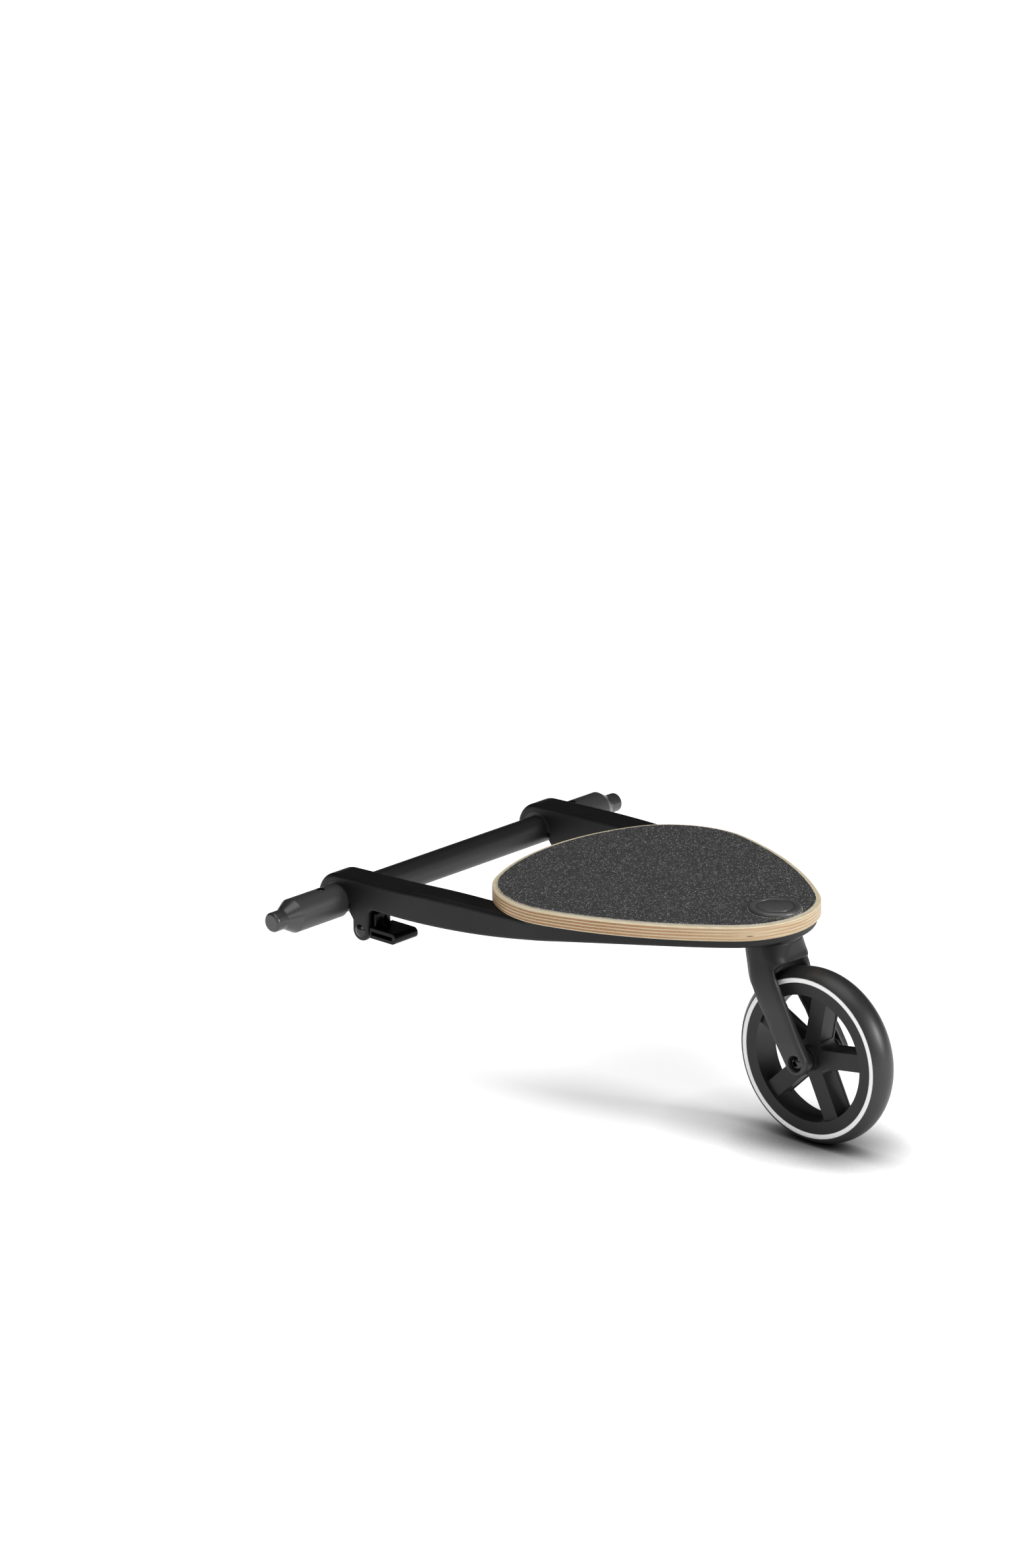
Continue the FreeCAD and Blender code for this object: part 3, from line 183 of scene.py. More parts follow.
# %% Lamps and sky
WHITE = (1.0, 1.0, 1.0, 1.0)
SKY_SEEN, SKY_FILL, SKY_MIRRORED = 1.0, 0.45, 0.03
LAMPS = {  # place, aim, size, power
    "right_box": ((1.0, -3.5, 1.7), (0.0, -0.1, 0.10), 1.1, 120.0),
    "back_box": ((-0.9, -3.3, 1.7), (0.0, -0.1, 0.10), 1.8, 20.0),
    "left_box": ((-3.4, -0.4, 1.9), (0.0, 0.0, 0.10), 1.8, 25.0),
    "top_box": ((-0.2, -0.2, 3.2), (0.0, 0.0, 0.10), 2.6, 50.0),
}

bpy.context.scene.view_settings.view_transform = "Standard"
for lamp_name, (place, aim, size, power) in LAMPS.items():
    lamp = bpy.data.lights.new(lamp_name, "AREA")
    lamp.size = size
    lamp.energy = power
    soft_box = placed(lamp_name, lamp)
    soft_box.location = place
    soft_box.rotation_euler = turned_to(Vector(aim) - Vector(place))

world = bpy.data.worlds.new("studio")
world.use_nodes = True
world.cycles.sampling_method = "NONE"
bpy.context.scene.world = world
sky = world.node_tree
sky.nodes.clear()
seen, fill, mirrored = [
    put(sky, "ShaderNodeBackground", {"Color": WHITE, "Strength": strength}).outputs[0]
    for strength in (SKY_SEEN, SKY_FILL, SKY_MIRRORED)]
ray = put(sky, "ShaderNodeLightPath").outputs
lit = put(sky, "ShaderNodeMixShader", {0: ray["Is Glossy Ray"], 1: fill, 2: mirrored}).outputs[0]
shown = put(sky, "ShaderNodeMixShader", {0: ray["Is Camera Ray"], 1: lit, 2: seen}).outputs[0]
put(sky, "ShaderNodeOutputWorld", {"Surface": shown})
print("lamps:", list(LAMPS))

# %% [markdown]
# ## Floor
# The board stands on a white table that glows a little, as a studio table lit from below does. The
# glow rises away from the middle, so that the far table blends into the white sky. A glowing table
# would show no shadow where the wheel touches it, so an Ambient Occlusion node darkens the paint
# and the glow wherever something is near. The table is also the first finish: `new_finish` makes a
# material with a Principled shader and keeps it by name.

# %% Floor
FLOOR_HALF = 30.0
FLOOR_TONE, FLOOR_ROUGHNESS, FLOOR_SPECULAR = 0.92, 0.9, 0.1
GLOW_SPAN, GLOW = (0.35, 1.5), (0.32, 0.80)
SHADE_REACH, SHADE_POWER, SHADE_SAMPLES = 0.09, 3.0, 16

finishes = {}


def new_finish(name, roughness=0.5, metallic=0.0, specular=0.5):
    """A material's tree and Principled shader, with the values that are the same all over."""
    material = bpy.data.materials.new(name)
    material.use_nodes = True
    shader = material.node_tree.nodes["Principled BSDF"]
    shader.inputs["Roughness"].default_value = roughness
    shader.inputs["Metallic"].default_value = metallic
    shader.inputs["Specular IOR Level"].default_value = specular
    finishes[name] = material
    return material.node_tree, shader


table, table_shader = new_finish("table_top", FLOOR_ROUGHNESS, specular=FLOOR_SPECULAR)
table_shader.inputs["Emission Color"].default_value = WHITE
off_middle = put(table, "ShaderNodeVectorMath", {0: here(table)}, operation="LENGTH")
glow = spread(table, off_middle.outputs["Value"], GLOW_SPAN, GLOW)
near = put(table, "ShaderNodeAmbientOcclusion", {"Distance": SHADE_REACH}, samples=SHADE_SAMPLES)
shade = sums(table, "POWER", near.outputs["AO"], SHADE_POWER)
feed(table_shader, "Emission Strength", times(table, glow, shade))
tone = times(table, shade, FLOOR_TONE)
table_paint = put(table, "ShaderNodeCombineColor", {0: tone, 1: tone, 2: tone}).outputs[0]
feed(table_shader, "Base Color", table_paint)

floor_mesh = bpy.data.meshes.new("floor")
corners = [(x * FLOOR_HALF, y * FLOOR_HALF, 0.0) for x, y in ((-1, -1), (1, -1), (1, 1), (-1, 1))]
floor_mesh.from_pydata(corners, [], [(0, 1, 2, 3)])
floor_mesh.materials.append(finishes["table_top"])
floor = placed("floor", floor_mesh)
print("floor:", 2 * FLOOR_HALF, "m wide")

# %% [markdown]
# ## Shared effects
# Several finishes share the same effects: the etched grain of a mould, a little dust on faces that
# look up, fine rub marks along the bar, and the thin line where the two halves of a mould met. Each
# is a node group, built once and placed in a material with its own sizes. A group only puts out
# heights and masks, and the shader stays in the material.

# %% Shared effects
UPWARD, SPECKS = (0.2, 1.0), (0.45, 0.75)
HAIRS = (0.62, 0.72)
LINE_EDGE = (0.3, 1.0)
FALLING = (1.0, 0.0)
GRAIN_NOISE, PATCH_NOISE = (2.0, 0.6), (6.0, 0.7)  # detail, roughness
CLOUD_DETAIL, HAIR_DETAIL = 3.0, 2.0


def new_group(name, inputs, outputs):
    """A shader node group of numbers, with the sockets at its two ends."""
    group = bpy.data.node_groups.new(name, "ShaderNodeTree")
    for socket, value in inputs.items():
        made = group.interface.new_socket(socket, in_out="INPUT", socket_type="NodeSocketFloat")
        made.default_value = value
    for socket in outputs:
        group.interface.new_socket(socket, in_out="OUTPUT", socket_type="NodeSocketFloat")
    return group, put(group, "NodeGroupInput").outputs, put(group, "NodeGroupOutput")


def per(tree, length):
    """How many of a length go into a metre."""
    return sums(tree, "DIVIDE", 1.0, length)


def effect(tree, group, **sizes):
    """Outputs of a shared effect with some sizes changed; _ in a name stands for a space."""
    inputs = {name.replace("_", " "): value for name, value in sizes.items()}
    return put(tree, "ShaderNodeGroup", inputs, node_tree=group).outputs


grain, grain_in, grain_out = new_group(
    "moulded_grain", {"Grain Size": 0.0006, "Cloud Size": 0.05}, ["Height", "Cloud"])
grain_place = here(grain)
fine, wide = [per(grain, grain_in[size]) for size in ("Grain Size", "Cloud Size")]
feed(grain_out, "Height", noise(grain, grain_place, fine, *GRAIN_NOISE))
feed(grain_out, "Cloud", noise(grain, grain_place, wide, CLOUD_DETAIL))

dust, dust_in, dust_out = new_group("settled_dust", {"Patch Size": 0.02, "Amount": 0.1}, ["Mask"])
upward = spread(dust, split(dust, facing(dust))["Z"], UPWARD)
patch = noise(dust, here(dust), per(dust, dust_in["Patch Size"]), *PATCH_NOISE)
settled = times(dust, upward, spread(dust, patch, SPECKS))
feed(dust_out, "Mask", times(dust, settled, dust_in["Amount"]))

rubs, rubs_in, rubs_out = new_group("rub_marks", {"Length": 0.03, "Width": 0.0005}, ["Mask"])
rubs_xyz = split(rubs, here(rubs))
stretched = put(rubs, "ShaderNodeCombineXYZ", {
    axis: sums(rubs, "DIVIDE", rubs_xyz[axis], rubs_in[size])
    for axis, size in (("X", "Length"), ("Y", "Width"), ("Z", "Width"))}).outputs[0]
feed(rubs_out, "Mask", spread(rubs, noise(rubs, stretched, 1.0, HAIR_DETAIL), HAIRS))

parting, parting_in, parting_out = new_group("parting_line", {"Width": 0.0003}, ["Mask"])
off_plane = sums(parting, "DIVIDE", split(parting, here(parting))["X"], parting_in["Width"])
line = spread(parting, sums(parting, "ABSOLUTE", off_plane), LINE_EDGE, FALLING)
feed(parting_out, "Mask", line)
print("groups:", [group.name for group in bpy.data.node_groups])

# %% [markdown]
# ## Black mouldings
# Frame, fork, levers, rim, cap and plugs are injection mouldings. The mould is etched, so the skin
# is a satin black with a grain finer than half a millimetre. One function makes the whole family;
# each member differs a little in tone and gloss, as parts from different moulds do. A Bump node
# turns the height of the grain into small tilts of the surface. The fork and the rim also show a
# parting line in the middle plane. Toward its crown the fork's tone and gloss are turned down, a
# painted shade for the shadow of the board above it.

# %% Black mouldings
DUST_TONE = paint(150, 148, 144)
SEAM_TONE, SEAM_SHARE, SEAM_DEPTH = grey(8), 0.6, 2.0
CLOUDS, CLOUD_TONES, CLOUD_GLOSS = (0.3, 0.7), (0.86, 1.14), 0.05
# Painted shade on the fork's crown: the heights where it sets in, and the share of tone and gloss
# left.
CROWN_SHADE_HEIGHTS, CROWN_SHADE_SHARE = (0.115, 0.150), 0.5
MOULDINGS = {  # tone, roughness, specular, grain size, grain height, dust, parting line
    "frame_black": ((8, 8, 8), 0.50, 0.30, 0.00045, 0.00003, 0.01, 0.0),
    "fork_black": ((34, 34, 34), 0.46, 0.42, 0.00045, 0.00003, 0.02, 1.0),
    "rim_black": ((24, 24, 24), 0.48, 0.33, 0.00035, 0.00002, 0.02, 0.5),
    "cap_black": ((60, 60, 60), 0.33, 0.60, 0.00035, 0.00002, 0.02, 0.0),
    "plug_black": ((40, 40, 40), 0.33, 0.60, 0.00035, 0.00002, 0.02, 0.0),
    "lever_black": ((4, 4, 4), 0.34, 0.16, 0.00035, 0.00002, 0.0, 0.0),
    "liner_grey": ((26, 26, 27), 0.40, 0.40, 0.0008, 0.00001, 0.0, 0.0),
}


def raise_bump(tree, shader, height, distance):
    """Feed a height through a Bump node to the shader's normal."""
    bump = put(tree, "ShaderNodeBump", {"Height": height, "Distance": distance, "Strength": 1.0})
    feed(shader, "Normal", bump.outputs["Normal"])


def shares(tone, *factors):
    """The tone times each factor, as linear colours."""
    return [paint(*[factor * value for value in tone]) for factor in factors]


def moulded(name, tone, roughness, specular, grain_size, grain_height, dust_amount, seam):
    """Black moulding: etched grain, faint clouds in the gloss, a trace of dust, a parting line."""
    tree, shader = new_finish(name, roughness, specular=specular)
    skin = effect(tree, grain, Grain_Size=grain_size)
    join = times(tree, effect(tree, parting)["Mask"], seam)
    base = mixed(tree, skin["Cloud"], *shares(tone, *CLOUD_TONES))
    base = mixed(tree, effect(tree, dust, Amount=dust_amount)["Mask"], base, DUST_TONE)
    feed(shader, "Base Color", mixed(tree, times(tree, join, SEAM_SHARE), base, SEAM_TONE))
    ends = (roughness - CLOUD_GLOSS, roughness + CLOUD_GLOSS)
    feed(shader, "Roughness", spread(tree, skin["Cloud"], CLOUDS, ends))
    height = sums(tree, "SUBTRACT", skin["Height"], times(tree, join, SEAM_DEPTH))
    raise_bump(tree, shader, height, grain_height)


def paint_shade_upward(name, heights, share):
    """Paint shade into a finish: its tone and gloss fall between two heights, down to a share of
    both.
    """
    tree = finishes[name].node_tree
    shader = tree.nodes["Principled BSDF"]
    # Painted shade: 1 below the two heights, falling to the share above them.
    kept = spread(tree, split(tree, here(tree))["Z"], heights, (1.0, share))
    specular = shader.inputs["Specular IOR Level"].default_value
    feed(shader, "Specular IOR Level", times(tree, kept, specular))
    base = shader.inputs["Base Color"].links[0].from_socket
    feed(shader, "Base Color", mixed(tree, kept, grey(0), base))


for moulding, values in MOULDINGS.items():
    moulded(moulding, *values)
# Painted shade: the fork's crown lies in the board's shadow, so its tone and gloss are turned down
# toward the top.
paint_shade_upward("fork_black", CROWN_SHADE_HEIGHTS, CROWN_SHADE_SHARE)
print("mouldings:", list(MOULDINGS))

# %% [markdown]
# ## Coated tube
# The cross bar and its two sleeves are steel with a black powder coat. Powder flows as it bakes, so
# its surface has a soft orange-peel a few millimetres across and is glossier than the mouldings. A
# few hairline rub marks run along the tube where it is gripped. The sleeves take a lighter tone
# than
# the bar: a painted highlight for the light along their middle.

# %% Coated tube
PEEL_SIZE, PEEL_HEIGHT = 0.0022, 0.00006
WORN_TONE, WORN_SHARE, WORN_DULLER = paint(95, 95, 96), 0.05, 0.05
COATS = {  # tone, roughness, specular
    "bar_coat": (grey(16), 0.44, 0.42),
    # The sleeves wear the bar's coat; their lighter tone is a painted highlight for the light along
    # their middle.
    "sleeve_coat_painted_light": (grey(44), 0.42, 0.5),
}

for coat, (tone, roughness, specular) in COATS.items():
    tube, tube_shader = new_finish(coat, roughness, specular=specular)
    worn = effect(tube, rubs)["Mask"]
    tube_base = mixed(tube, times(tube, worn, WORN_SHARE), tone, WORN_TONE)
    feed(tube_shader, "Base Color", tube_base)
    duller = spread(tube, worn, (0.0, 1.0), (roughness, roughness + WORN_DULLER))
    feed(tube_shader, "Roughness", duller)
    raise_bump(tube, tube_shader, effect(tube, grain, Grain_Size=PEEL_SIZE)["Height"], PEEL_HEIGHT)
print("coats:", list(COATS))

# %% [markdown]
# ## Plies of the deck
# The deck is birch plywood, and its sawn edge shows the plies. Their grain runs in turn along the
# board and across it. A ply is pale where the edge follows its grain and brown where the saw cut
# across the fibres, so one and the same ply changes along the outline. The plies could be painted
# from a picture, but they follow a rule: the height gives each ply a number, and the edge's own
# direction tells how its fibres were cut.

# %% Plies of the deck
DECK_LOW, DECK_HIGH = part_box("deck")
PLIES = 9
PLY_PAIR = (DECK_HIGH.z - DECK_LOW.z) / PLIES * 2
THIN_SHARE, THIN_PALER = 0.40, 0.35
WAVER_LUMPS, WAVER = (40.0, 40.0, 2.0), 0.09
CUT_SPAN = (0.15, 0.85)
TINY = 0.001
WOOD_SPECULAR = 0.35

wood, wood_shader = new_finish("birch_plywood", specular=WOOD_SPECULAR)
wood_xyz = split(wood, here(wood))
wood_facing = split(wood, facing(wood))


def wood_scaled(x, y, z):
    """The point that is shaded, scaled along each axis."""
    scaled = {axis: times(wood, wood_xyz[axis], scale) for axis, scale in zip("XYZ", (x, y, z))}
    return put(wood, "ShaderNodeCombineXYZ", scaled).outputs[0]


def wood_noise(along, up, detail):
    """Noise of so many lumps per metre along the board and up through it."""
    return noise(wood, wood_scaled(along, along, up), 1.0, detail)


waver = spread(wood, wood_noise(*WAVER_LUMPS), (0.0, 1.0), (-WAVER, WAVER))
ply_height = sums(wood, "DIVIDE", sums(wood, "SUBTRACT", wood_xyz["Z"], DECK_LOW.z), PLY_PAIR)
within = sums(wood, "FRACT", sums(wood, "ADD", ply_height, waver))
thin = sums(wood, "LESS_THAN", within, THIN_SHARE)
square_x, square_y = [times(wood, wood_facing[axis], wood_facing[axis]) for axis in "XY"]
level_part = sums(wood, "ADD", sums(wood, "ADD", square_x, square_y), TINY)
sideways = sums(wood, "DIVIDE", square_x, level_part)
lengthways = sums(wood, "SUBTRACT", 1.0, sideways)
cut_across = put(wood, "ShaderNodeMix", {0: thin, 2: sideways, 3: lengthways}).outputs[0]
cut_across = spread(wood, cut_across, CUT_SPAN)
cut_across = sums(wood, "SUBTRACT", cut_across, times(wood, thin, THIN_PALER))
print(PLIES, "plies,", round(PLY_PAIR / MM, 2), "mm a pair")

# %% [markdown]
# ## Colours of the deck
# Each ply takes its tone from the way it was cut, and stretched noise adds fibres, pores and brown
# streaks. Thin dark lines are the glue, and a few dark slits stand for knots. The rounded rim on
# top shows the pale face veneer.

# %% Colours of the deck
FIBRE_LUMPS, FIBRE_HEIGHT = (30.0, 1700.0, 4.0), 0.00006
PORE_LUMPS, BROWN_LUMPS = (1300.0, 1300.0, 2.0), (14.0, 90.0, 2.0)
SLIT_SCALE, SLIT_SPAN, SLIT_TONE = (16.0, 16.0, 120.0), (0.055, 0.085), paint(72, 44, 28)
VENEER_SCALE, VENEER_DETAIL = (300.0, 9.0, 0.0), 5.0
TONE_SPAN = (0.32, 0.68)
LONG_GRAIN = paint(176, 166, 141), paint(160, 138, 106)
END_GRAIN = paint(150, 114, 76), paint(116, 80, 50)
VENEER = paint(187, 178, 155), paint(174, 159, 131)
BROWN_SPAN, BROWN_SHARE, BROWN_TONE = (0.50, 0.72), 0.6, paint(146, 102, 68)
GLUE_FROM, GLUE_SHARE, GLUE_TONE = 0.965, 0.7, paint(118, 82, 52)
RIM_SPAN = (0.42, 0.62)
WOOD_GLOSS = (0.42, 0.58)


def wood_tone(value, tones):
    """Colour between two tones by a noise value."""
    return mixed(wood, spread(wood, value, TONE_SPAN), *tones)


fibre = wood_noise(*FIBRE_LUMPS)
long_grain = wood_tone(fibre, LONG_GRAIN)
end_grain = wood_tone(wood_noise(*PORE_LUMPS), END_GRAIN)
sawn = mixed(wood, cut_across, long_grain, end_grain)
streaks = spread(wood, wood_noise(*BROWN_LUMPS), BROWN_SPAN, (0.0, BROWN_SHARE))
sawn = mixed(wood, times(wood, streaks, sums(wood, "SUBTRACT", 1.0, thin)), sawn, BROWN_TONE)
glue = times(wood, sums(wood, "GREATER_THAN", within, GLUE_FROM), GLUE_SHARE)
sawn = mixed(wood, glue, sawn, GLUE_TONE)
slits = put(wood, "ShaderNodeTexVoronoi", {"Vector": wood_scaled(*SLIT_SCALE), "Scale": 1.0})
slit_mask = spread(wood, slits.outputs["Distance"], SLIT_SPAN, FALLING)
sawn = mixed(wood, slit_mask, sawn, SLIT_TONE)
veneer = wood_tone(noise(wood, wood_scaled(*VENEER_SCALE), 1.0, VENEER_DETAIL), VENEER)
on_rim = spread(wood, sums(wood, "ABSOLUTE", wood_facing["Z"]), RIM_SPAN)
feed(wood_shader, "Base Color", mixed(wood, on_rim, sawn, veneer))
feed(wood_shader, "Roughness", spread(wood, fibre, CLOUDS, WOOD_GLOSS))
raise_bump(wood, wood_shader, fibre, FIBRE_HEIGHT)
print("plywood:", len(wood.nodes), "nodes")

# %% [markdown]
# ## Rubber and reflective ring
# The tyre is solid rubber: dark, dull, with hair-fine mould lines that run round it. They follow
# the distance from the axle, so the material works that out from the coordinates. The ring in its
# wall is a pale film of tiny prisms.

# %% Rubber and reflective ring
AXLE_Y, AXLE_Z = -0.1783, 0.075
RUBBER_GRAIN, RUBBER_DUST, RUBBER_HEIGHT = 0.0007, 0.04, 0.00003
RUBBER_TONES, RUBBER_GLOSS, RUBBER_SPECULAR = (grey(28), grey(34)), (0.37, 0.44), 0.42
MOULD_LINE_GAP, MOULD_LINE_DEPTH = 0.0011, 0.2
PRISM_SCALE, PRISM_HEIGHT = 900.0, 0.00003
PRISM_TONES, FILM_ROUGHNESS = (grey(226), paint(214, 214, 215)), 0.40

rubber, rubber_shader = new_finish("tyre_rubber", specular=RUBBER_SPECULAR)
skin = effect(rubber, grain, Grain_Size=RUBBER_GRAIN)
fallen = effect(rubber, dust, Amount=RUBBER_DUST)["Mask"]
rubber_base = mixed(rubber, skin["Cloud"], *RUBBER_TONES)
feed(rubber_shader, "Base Color", mixed(rubber, fallen, rubber_base, DUST_TONE))
feed(rubber_shader, "Roughness", spread(rubber, skin["Cloud"], CLOUDS, RUBBER_GLOSS))
rubber_xyz = split(rubber, here(rubber))
back = sums(rubber, "SUBTRACT", rubber_xyz["Y"], AXLE_Y)
rise = sums(rubber, "SUBTRACT", rubber_xyz["Z"], AXLE_Z)
squares = sums(rubber, "ADD", times(rubber, back, back), times(rubber, rise, rise))
phase = times(rubber, sums(rubber, "SQRT", squares), math.tau / MOULD_LINE_GAP)
mould_lines = times(rubber, sums(rubber, "SINE", phase), MOULD_LINE_DEPTH)
rubber_height = sums(rubber, "ADD", mould_lines, skin["Height"])
raise_bump(rubber, rubber_shader, rubber_height, RUBBER_HEIGHT)

film, film_shader = new_finish("reflective_film", FILM_ROUGHNESS)
prisms = put(film, "ShaderNodeTexVoronoi", {"Vector": here(film), "Scale": PRISM_SCALE})
feed(film_shader, "Base Color", mixed(film, prisms.outputs["Distance"], *PRISM_TONES))
raise_bump(film, film_shader, prisms.outputs["Distance"], PRISM_HEIGHT)
print("rubber:", len(rubber.nodes), "nodes, film:", len(film.nodes))

# %% [markdown]
# ## Metals
# Pins, screws, stem and springs are steel, with a zinc coat, bare or blackened. Fine brush marks
# change their gloss, and the shared grain gives faint clouds in the tone.

# %% Metals
BRUSH_LENGTH, BRUSH_WIDTH, BRUSH_HEIGHT = 0.004, 0.0002, 0.00001
BRUSH_GLOSS = (-0.06, 0.1)
METAL_TONES = (0.9, 1.0)
METALS = {  # tone, roughness
    "zinc_steel": ((178, 180, 184), 0.34),
    "spring_steel": ((140, 141, 145), 0.30),
    "blackened_steel": ((66, 66, 68), 0.28),
}

for metal, (tone, roughness) in METALS.items():
    steel, steel_shader = new_finish(metal, roughness, metallic=1.0)
    brushed = effect(steel, rubs, Length=BRUSH_LENGTH, Width=BRUSH_WIDTH)["Mask"]
    clouds = effect(steel, grain)["Cloud"]
    feed(steel_shader, "Base Color", mixed(steel, clouds, *shares(tone, *METAL_TONES)))
    gloss = spread(steel, brushed, (0.0, 1.0), [roughness + change for change in BRUSH_GLOSS])
    feed(steel_shader, "Roughness", gloss)
    raise_bump(steel, steel_shader, brushed, BRUSH_HEIGHT)
print("metals:", list(METALS))

# %% [markdown]
# ## Grip sheet
# A sheet of sanded grip covers the deck. The sheet itself is a dull charcoal with a rough skin of
# small cells, each with its own tone. Where the sheet was cut, its pale backing shows, so the
# upright faces get that tone. Two more finishes are for what is scattered on it: bright mineral
# grains, and crumbs of the backing.

# %% Grip sheet
CELL_SCALE, CELL_SPAN, CELL_TONES = 1300.0, (0.3, 1.0), (grey(40), grey(66))
BRIGHT_FROM, BRIGHT_TONE = 0.955, grey(128)
GRIT_SCALE, GRIT_DETAIL, GRIT_HEIGHT = 2600.0, 3.0, 0.00025
BACKING_TONES, UPRIGHT = (paint(120, 118, 114), paint(214, 210, 200)), (0.3, 0.7)
SHEET_ROUGHNESS, SHEET_SPECULAR, GRAIN_ROUGHNESS = 0.85, 0.25, 0.4
SCATTERED = {  # darkest and palest tone
    "grip_grain": (grey(70), grey(200)),
    "cut_backing": (paint(120, 118, 112), paint(226, 222, 212)),
}

sand, sand_shader = new_finish("grip_sheet", SHEET_ROUGHNESS, specular=SHEET_SPECULAR)
sand_place = here(sand)
grit_cells = put(sand, "ShaderNodeTexVoronoi", {"Vector": sand_place, "Scale": CELL_SCALE}).outputs
grit = noise(sand, sand_place, GRIT_SCALE, GRIT_DETAIL)
cell_tone = put(sand, "ShaderNodeSeparateColor", {0: grit_cells["Color"]}).outputs["Red"]
sand_base = mixed(sand, spread(sand, cell_tone, CELL_SPAN), *CELL_TONES)
sand_base = mixed(sand, sums(sand, "GREATER_THAN", cell_tone, BRIGHT_FROM), sand_base, BRIGHT_TONE)
sand_up = sums(sand, "ABSOLUTE", split(sand, facing(sand))["Z"])
backing = mixed(sand, grit, *BACKING_TONES)
sand_base = mixed(sand, spread(sand, sand_up, UPRIGHT, FALLING), sand_base, backing)
feed(sand_shader, "Base Color", sand_base)
lumps = sums(sand, "ADD", times(sand, grit_cells["Distance"], -1.0), grit)
raise_bump(sand, sand_shader, lumps, GRIT_HEIGHT)

for scattered, tones in SCATTERED.items():
    bits, bits_shader = new_finish(scattered, GRAIN_ROUGHNESS)
    own_shade = put(bits, "ShaderNodeAttribute", attribute_name="shade").outputs["Fac"]
    feed(bits_shader, "Base Color", mixed(bits, own_shade, *tones))
print("grip finishes: grip_sheet and", list(SCATTERED))

# %% [markdown]
# ## Geometry helpers
# Pieces that repeat or follow a path are made by Geometry Nodes. A tree is built in code with named
# inputs, runs as a modifier on a start mesh, and its result is kept as a plain mesh. That mesh then
# becomes a piece that rides on one of the frame's bodies. A start mesh may be part of a CAD solid,
# so it is a copy, and the solid itself stays as it is.

# %% Geometry helpers
MERGE_GAP = 1e-6
LOOKS_UP = 0.9


def new_geometry_tree(name, inputs):
    """A geometry tree with a mesh in and out and named numbers, and its two ends."""
    tree = bpy.data.node_groups.new(name, "GeometryNodeTree")
    for way in ("INPUT", "OUTPUT"):
        tree.interface.new_socket("Geometry", in_out=way, socket_type="NodeSocketGeometry")
    for socket, value in inputs.items():
        kind = "NodeSocketInt" if isinstance(value, int) else "NodeSocketFloat"
        made = tree.interface.new_socket(socket, in_out="INPUT", socket_type=kind)
        made.default_value = value
    return tree, put(tree, "NodeGroupInput").outputs, put(tree, "NodeGroupOutput")


def stand(name, mesh, body):
    """Link a finished mesh as a piece that rides on a body."""
    mesh.name = name
    piece = placed(name, mesh)
    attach(piece, body)
    return piece


def grow(name, start, tree, body, slot, **changes):
    """Run a geometry tree, with some inputs changed, and keep the result as a piece on a body."""
    seed_object = placed(name + "_start", start)
    modifier = seed_object.modifiers.new(name, "NODES")
    modifier.node_group = tree
    for socket in tree.interface.items_tree:
        if socket.name in changes:
            modifier[socket.identifier] = changes[socket.name]
    bpy.context.view_layer.update()
    shaped = seed_object.evaluated_get(bpy.context.evaluated_depsgraph_get())
    mesh = bpy.data.meshes.new_from_object(shaped)
    seed_object.modifiers.clear()
    bpy.data.objects.remove(seed_object)
    return stand(name, mesh, body)


def merged_copy(node, only_top=False):
    """A copy of a node's mesh with its loose corners joined, or only of its faces that look up."""
    form = bmesh.new()
    form.from_mesh(nodes[node].data)
    bmesh.ops.remove_doubles(form, verts=form.verts, dist=MERGE_GAP)
    if only_top:
        others = [face for face in form.faces if face.normal.z < LOOKS_UP]
        bmesh.ops.delete(form, geom=others, context="FACES")
    mesh = bpy.data.meshes.new(node + "_merged")
    form.to_mesh(mesh)
    form.free()
    return mesh


def end_tree(tree, group_out, geometry, finish):
    """The end of every tree: real meshes instead of instances, with a finish."""
    real = put(tree, "GeometryNodeRealizeInstances", {0: geometry})
    dressed = put(tree, "GeometryNodeSetMaterial", {
        "Geometry": real.outputs[0], "Material": finishes[finish]})
    feed(group_out, "Geometry", dressed.outputs[0])


sheet_top = merged_copy("grip_sheet", only_top=True)
print("top of the sheet:", len(sheet_top.polygons), "faces")

# %% [markdown]
# ## Grip grains
# The bright grains could be painted as dots, but real grains catch the lamps one by one, so they
# are small crystals strewn over the top of the sheet. Each is turned, scaled and shaded at random,
# and a fixed seed gives the same grains each time.

# %% Grip grains
GRAIN_DENSITY, GRAIN_SIZE, GRAIN_SEED = 90000.0, 0.00032, 7
SMALLEST, LARGEST = (0.35, 0.35, 0.3), (1.0, 1.0, 0.7)
FULL_TURNS = (math.tau, math.tau, math.tau)
CRYSTAL_FACES = 20


def at_random(tree, seed, lowest, highest):
    """A random vector for each point, between two corners."""
    node = put(tree, "FunctionNodeRandomValue", {"Seed": seed}, data_type="FLOAT_VECTOR")
    node.inputs[0].default_value = lowest
    node.inputs[1].default_value = highest
    return node.outputs[0]


def strew(tree, group_in, group_out, points, finish):
    """End a tree with a crystal on every point, turned, scaled and shaded at random."""
    seed = group_in["Seed"]
    crystal = put(tree, "GeometryNodeMeshIcoSphere", {
        "Radius": group_in["Grain Size"], "Subdivisions": 1})
    grains = put(tree, "GeometryNodeInstanceOnPoints", {
        "Points": points, "Instance": crystal.outputs["Mesh"],
        "Rotation": at_random(tree, seed, (0.0, 0.0, 0.0), FULL_TURNS),
        "Scale": at_random(tree, seed, SMALLEST, LARGEST)})
    tint = put(tree, "FunctionNodeRandomValue", {"Seed": seed}, data_type="FLOAT")
    marked = put(tree, "GeometryNodeStoreNamedAttribute", {
        "Geometry": grains.outputs[0], "Name": "shade", "Value": tint.outputs[1]},
        domain="INSTANCE", data_type="FLOAT")
    end_tree(tree, group_out, marked.outputs[0], finish)


